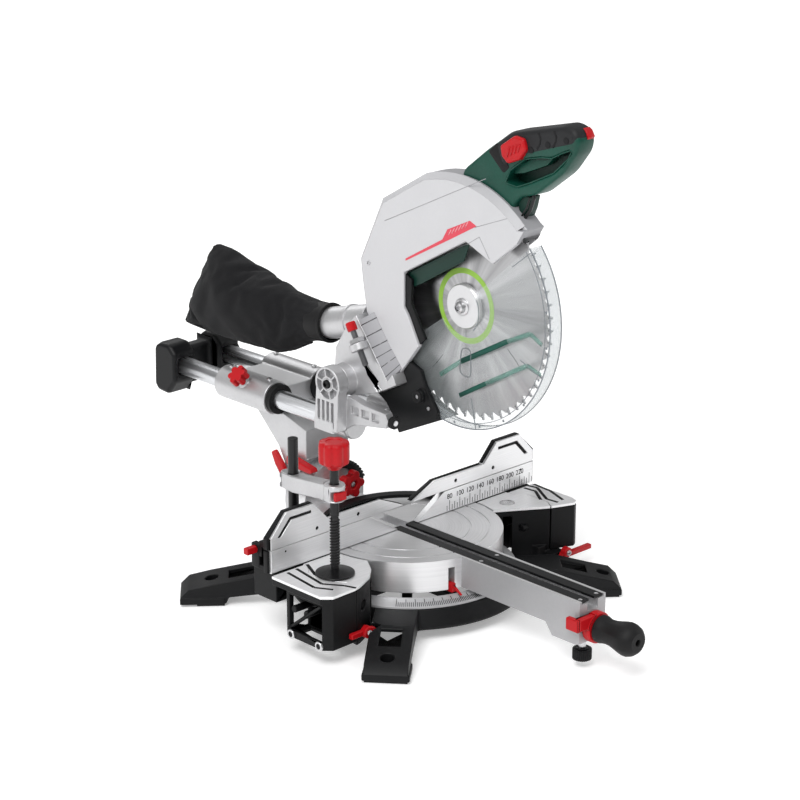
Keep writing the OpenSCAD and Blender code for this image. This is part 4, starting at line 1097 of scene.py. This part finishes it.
def handle():
    obj = loop_piece("handle_loop", HANDLE, FINGER_HOLE, 15.6, 5, GREEN, "head")
    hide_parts("handle")
    bm = bmesh.new()
    for half in (-1, 1):
        x = half * 15.7
        for outline in strokes(FINGER_HOLE + FINGER_HOLE[:1], 1.6):
            slab(bm, outline, min(x, x - half * 4), max(x, x - half * 4))
    settle(bevelled(from_bmesh("handle_hole_lip", bm), 0.5, 2), "head", GREEN)
    # the well behind the trigger, filled by a dark green sheet that paints its shade, and the trigger's
    # paddle in it
    prism("handle_well_painted_shade", FINGER_HOLE, 7, 12, DEEP_GREEN_AND_PAINTED_SHADE, "head", 0.3)
    paddle = [(-196, 630), (-203, 642), (-226, 653), (-250, 659), (-262, 660), (-252, 650), (-214, 634)]
    prism("trigger_paddle", rounded(paddle, 3), -7, 7, GREEN, "trigger_switch", 1.6)
    grip = [(-186, 634), (-176, 650), (-171, 666), (-198, 685.5), (-289, 708), (-304, 704), (-311, 694),
            (-305, 684), (-222, 657), (-205, 646)]
    obj = loop_piece("handle_overmould", grip, None, 17, 8, GRIP_RUBBER, "head", 9)
    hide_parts("handle_grip")
    bm = bmesh.new()
    for y in (-247, -273):
        z = 698.5 - (y + 250) * 0.25
        curve = [(y + 3, z - 27), (y - 2, z - 20), (y - 3, z - 13), (y + 1, z - 6.5)]
        for outline in strokes(curve, 2.2):
            slab(bm, outline, -17.4, -15.4)
            slab(bm, outline, 15.4, 17.4)
    settle(from_bmesh("grip_ridges", bm), "head", INK)
    bm = bmesh.new()
    for y, z in ((-234, 668), (-262, 679), (-292, 689)):
        for half in (-1, 1):
            lathe(bm, [(0, 0), (4.2, 0), (4.2, 0.9), (3.4, 1.1), (0, 0.5)], (half * 16.5, y, z),
                  (half, 0, 0), 24)
    settle(from_bmesh("grip_screws", bm), "head", INK)
    softened("trigger", 1.5, DEEP_GREEN_AND_PAINTED_SHADE)
    softened("lock_off_lever", 3.2, RED, 4)
    bars = [bar((-199 - 6 * k, 654 + 3.2 * k), (-203 - 6 * k, 668 + 2.2 * k), 1.5) for k in range(4)]
    marks("lock_off_ribs", bars, "lock_off", RED, None, -22.8, -21.5)
    tip = [(-303, 704.2), (-308, 701), (-312.4, 693.6), (-309, 688), (-306, 690), (-307, 694), (-303, 700)]
    prism("handle_tip", tip, 1, 13, RED, "head", 0.8)
    plate = [(-209, 572), (-215, 570), (-224, 590), (-228, 606), (-206, 606)]
    prism("handle_plate", plate, -9, 9, DEEP_GREEN_AND_PAINTED_SHADE, "head", 1.2)
    bm = bmesh.new()
    tube(bm, [Vector((-9, y, z)) for y, z in ((-213, 570), (-228, 590), (-234, 606), (-231, 614))], 2.2)
    tube(bm, [Vector((-12, y, z)) for y, z in ((-209, 571), (-224, 592), (-229, 606))], 1.2)
    settle(from_bmesh("guard_rod", bm), "head", BLACK_STEEL)
    collar = [(-160, 654), (-176, 668), (-186, 652), (-198, 640), (-187, 630)]
    prism("handle_collar", rounded(collar, 4), -16.6, 16.6, RUBBER, "head", 1.6)


# ------------------------------------------------------------ dust bag

# The bag's side view: (top y, top z, bottom y, bottom z, half width) from the cuff to the closing seam
BAG = [(150, 387, 143, 335, 25), (172, 386, 168, 331, 26), (192, 387, 190, 322, 28), (222, 391, 220, 307, 33),
       (250, 397, 250, 299, 37), (285, 404, 300, 297, 40), (320, 413, 352, 294, 38), (350, 421, 400, 293, 32),
       (371, 425, 432, 294, 23), (383, 425, 450, 295, 13), (388, 421, 457, 296, 6)]
BAG_X = -10


def through(keys, t):
    """A smooth curve through rows of numbers, at t from 0 to the last row."""
    k = min(int(t), len(keys) - 2)
    f = t - k
    before, after = keys[max(k - 1, 0)], keys[min(k + 2, len(keys) - 1)]
    out = []
    for p0, p1, p2, p3 in zip(before, keys[k], keys[k + 1], after):
        out.append(0.5 * (2 * p1 + (p2 - p0) * f + (2 * p0 - 5 * p1 + 4 * p2 - p3) * f * f
                          + (3 * p1 - p0 - 3 * p2 + p3) * f ** 3))
    return out


def dust_bag():
    bm = bmesh.new()
    around_steps, length_steps = 72, 60
    rings = []
    for i in range(length_steps + 1):
        top_y, top_z, low_y, low_z, wide = through(BAG, i / length_steps * (len(BAG) - 1))
        middle = Vector((0, (top_y + low_y) / 2, (top_z + low_z) / 2))
        up = Vector((0, (top_y - low_y) / 2, (top_z - low_z) / 2))
        along = i / length_steps
        fade = min(1.0, max(0.0, (along - 0.12) * 6)) * min(1.0, (1 - along) * 9)
        ring = []
        for j in range(around_steps):
            a = 2 * math.pi * j / around_steps
            c, h = math.cos(a), math.sin(a)
            side = math.copysign(abs(c) ** 0.8, c)
            spot = Vector((side * wide, middle.y, h * 50)) * 0.02
            fold = noise.noise(spot * 1.3) * 3.4 + noise.noise(spot * 3.1 + Vector((5, 1, 2))) * 1.5
            gather = math.sin(a * 11 + noise.noise(spot) * 3) * 1.2 * max(0.0, 1 - abs(along - 0.16) * 7)
            out = 1 + (fold * fade + gather) / max(wide, 16)
            point = middle + up * h * (1 + (out - 1) * 0.25) + Vector((BAG_X + wide * side * out, 0, 0))
            ring.append(bm.verts.new(point * MM))
        rings.append(ring)
    skin(bm, rings)
    obj = from_bmesh("dust_bag_cloth", bm, 0)
    obj.data.shade_smooth()
    inflate(obj)
    settle(obj, "head", FABRIC)
    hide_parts("dust_bag")
    top_y, top_z, low_y, low_z = BAG[-1][:4]
    seam = bmesh.new()
    tube(seam, [Vector((BAG_X, top_y + (low_y - top_y) * t / 20, top_z + (low_z - top_z) * t / 20))
                for t in range(21)], 3)
    under = [through(BAG, t / 24 * (len(BAG) - 1)) for t in range(4, 25)]
    tube(seam, [Vector((BAG_X, row[2], row[3] - 0.5)) for row in under], 2.2)
    settle(from_bmesh("bag_piping", seam), "head", FABRIC)
    for name, profile in (("bag_cuff", [(24.6, 0), (26.6, 0.8), (27, 3), (27, 25), (26.4, 27), (24.6, 28)]),
                          ("bag_cuff_ring", [(24, -5), (27.6, -4.4), (28, -2), (27.6, 0.6), (24, 1)])):
        turned(name, profile, (BAG_X, 144, 361.6), (0, 0.992, -0.12), RUBBER, "head", 64)


def inflate(obj):
    """A short cloth run with air inside, so that the fabric gathers and sags, held at both ends."""
    held = obj.vertex_groups.new(name="held")
    for v in obj.data.vertices:
        y = v.co.y / MM
        lean = (v.co.z / MM - 296) * 0.5 + y
        weight = 1.0 if y < 176 or lean > 448 else 0.0
        held.add([v.index], weight, "REPLACE")
    cloth = obj.modifiers.new("cloth", "CLOTH")
    settings = cloth.settings
    settings.quality = 6
    settings.mass = 0.08
    settings.tension_stiffness = 60
    settings.compression_stiffness = 60
    settings.shear_stiffness = 25
    settings.bending_stiffness = 3
    settings.effector_weights.gravity = 0.12
    settings.vertex_group_mass = "held"
    settings.use_pressure = True
    settings.uniform_pressure_force = 2.2
    settings.shrink_min = -0.03
    cloth.point_cache.frame_start, cloth.point_cache.frame_end = 1, 24
    scene = bpy.context.scene
    for number in range(1, 25):
        scene.frame_set(number)
    bake(obj)
    scene.frame_set(1)
    obj.data.shade_smooth()


def tube(bm, points, radius, steps=10):
    """A round tube along points in millimetres."""
    rings = []
    for i, p in enumerate(points):
        along = (points[min(i + 1, len(points) - 1)] - points[max(i - 1, 0)]).normalized()
        side = along.cross(Vector((1, 0, 0))).normalized()
        up = along.cross(side)
        ring = []
        for k in range(steps):
            a = 2 * math.pi * k / steps
            ring.append(bm.verts.new((p + side * radius * math.cos(a) + up * radius * math.sin(a)) * MM))
        rings.append(ring)
    skin(bm, rings)


# ------------------------------------------------------------ studio

CAMERA_PLACE = Vector((-2.20312, -2.28921, 1.36522))
CAMERA_AZIMUTH, CAMERA_ELEVATION = math.radians(-43.7035), math.radians(18.8179)
FOCAL_PX, IMAGE_PX, SENSOR_MM = 2495.85, 800, 36


def studio():
    bpy.context.scene.view_settings.view_transform = "Standard"
    floor_mesh = bpy.data.meshes.new("floor")
    bm = bmesh.new()
    bmesh.ops.create_grid(bm, x_segments=2, y_segments=2, size=30)
    bm.to_mesh(floor_mesh)
    bm.free()
    floor = placed("floor", floor_mesh)
    floor.location.z = cad_box[0][2] - 0.0002
    n = Nodes("studio_floor")
    mottled = n.noise(2, 3)
    n.link(n.ramp(mottled, [(0.3, (0.86, 0.86, 0.86)), (0.7, (0.88, 0.88, 0.88))]),
           n.shader.inputs["Base Color"])
    n.set(Roughness=0.9, Emission_Color=(1, 1, 1, 1), Emission_Strength=0.3, Specular_IOR_Level=0.2)
    floor.data.materials.append(n.material)

    world = bpy.data.worlds.new("studio")
    bpy.context.scene.world = world
    world.use_nodes = True
    sky = world.node_tree
    sky.nodes["Background"].inputs["Strength"].default_value = 0.55
    place = sky.nodes.new("ShaderNodeTexCoord")
    split = sky.nodes.new("ShaderNodeSeparateXYZ")
    fall = sky.nodes.new("ShaderNodeValToRGB")
    sky.links.new(place.outputs["Generated"], split.inputs["Vector"])
    sky.links.new(split.outputs["Z"], fall.inputs["Fac"])
    sky.links.new(fall.outputs["Color"], sky.nodes["Background"].inputs["Color"])
    stops = fall.color_ramp.elements
    stops.new(0.35)
    for stop, (height, level) in zip(stops, ((0.0, 0.3), (0.3, 0.62), (0.9, 1.5))):
        stop.position = height
        stop.color = (level, level, level, 1)

    target = Vector((0, 0.05, 0.3))
    sun_data = bpy.data.lights.new("sun", "SUN")
    sun_data.energy = 1.45
    sun_data.angle = math.radians(28)
    sun = placed("sun", sun_data)
    sun.rotation_euler = Vector((0.62, 0.3, -0.9)).to_track_quat("-Z", "Y").to_euler()
    lamps = [("key", (-1.9, -1.1, 2.0), 0.9, 12), ("left", (-2.6, 0.9, 1.0), 1.2, 7),
             ("right", (2.0, -1.2, 1.0), 1.0, 6), ("back", (0.8, 2.2, 1.7), 1.2, 10)]
    for name, place, size, power in lamps:
        data = bpy.data.lights.new(name, "AREA")
        data.shape = "SQUARE"
        data.size = size
        data.energy = power
        lamp = placed(name, data)
        lamp.location = place
        lamp.rotation_euler = (target - lamp.location).to_track_quat("-Z", "Y").to_euler()

    data = bpy.data.cameras.new("camera")
    data.sensor_width = SENSOR_MM
    data.lens = FOCAL_PX * SENSOR_MM / IMAGE_PX
    data.clip_end = 100
    camera = placed("camera", data)
    camera.location = CAMERA_PLACE
    back = Vector((math.sin(CAMERA_AZIMUTH) * math.cos(CAMERA_ELEVATION),
                   -math.cos(CAMERA_AZIMUTH) * math.cos(CAMERA_ELEVATION), math.sin(CAMERA_ELEVATION)))
    right = Vector((math.cos(CAMERA_AZIMUTH), math.sin(CAMERA_AZIMUTH), 0))
    up = back.cross(right)
    camera.rotation_euler = Matrix((right, up, back)).transposed().to_euler()
    bpy.context.scene.camera = camera


base_pieces()
fences()
extensions()
turntable_pieces()
foot_knob()
mitre_grip()
clamp_pieces()
column_pieces()
rails()
upper_guard()
inner_guard()
saw_blade()
lower_guard()
chute()
head_pieces()
motor()
handle()
dust_bag()
studio()
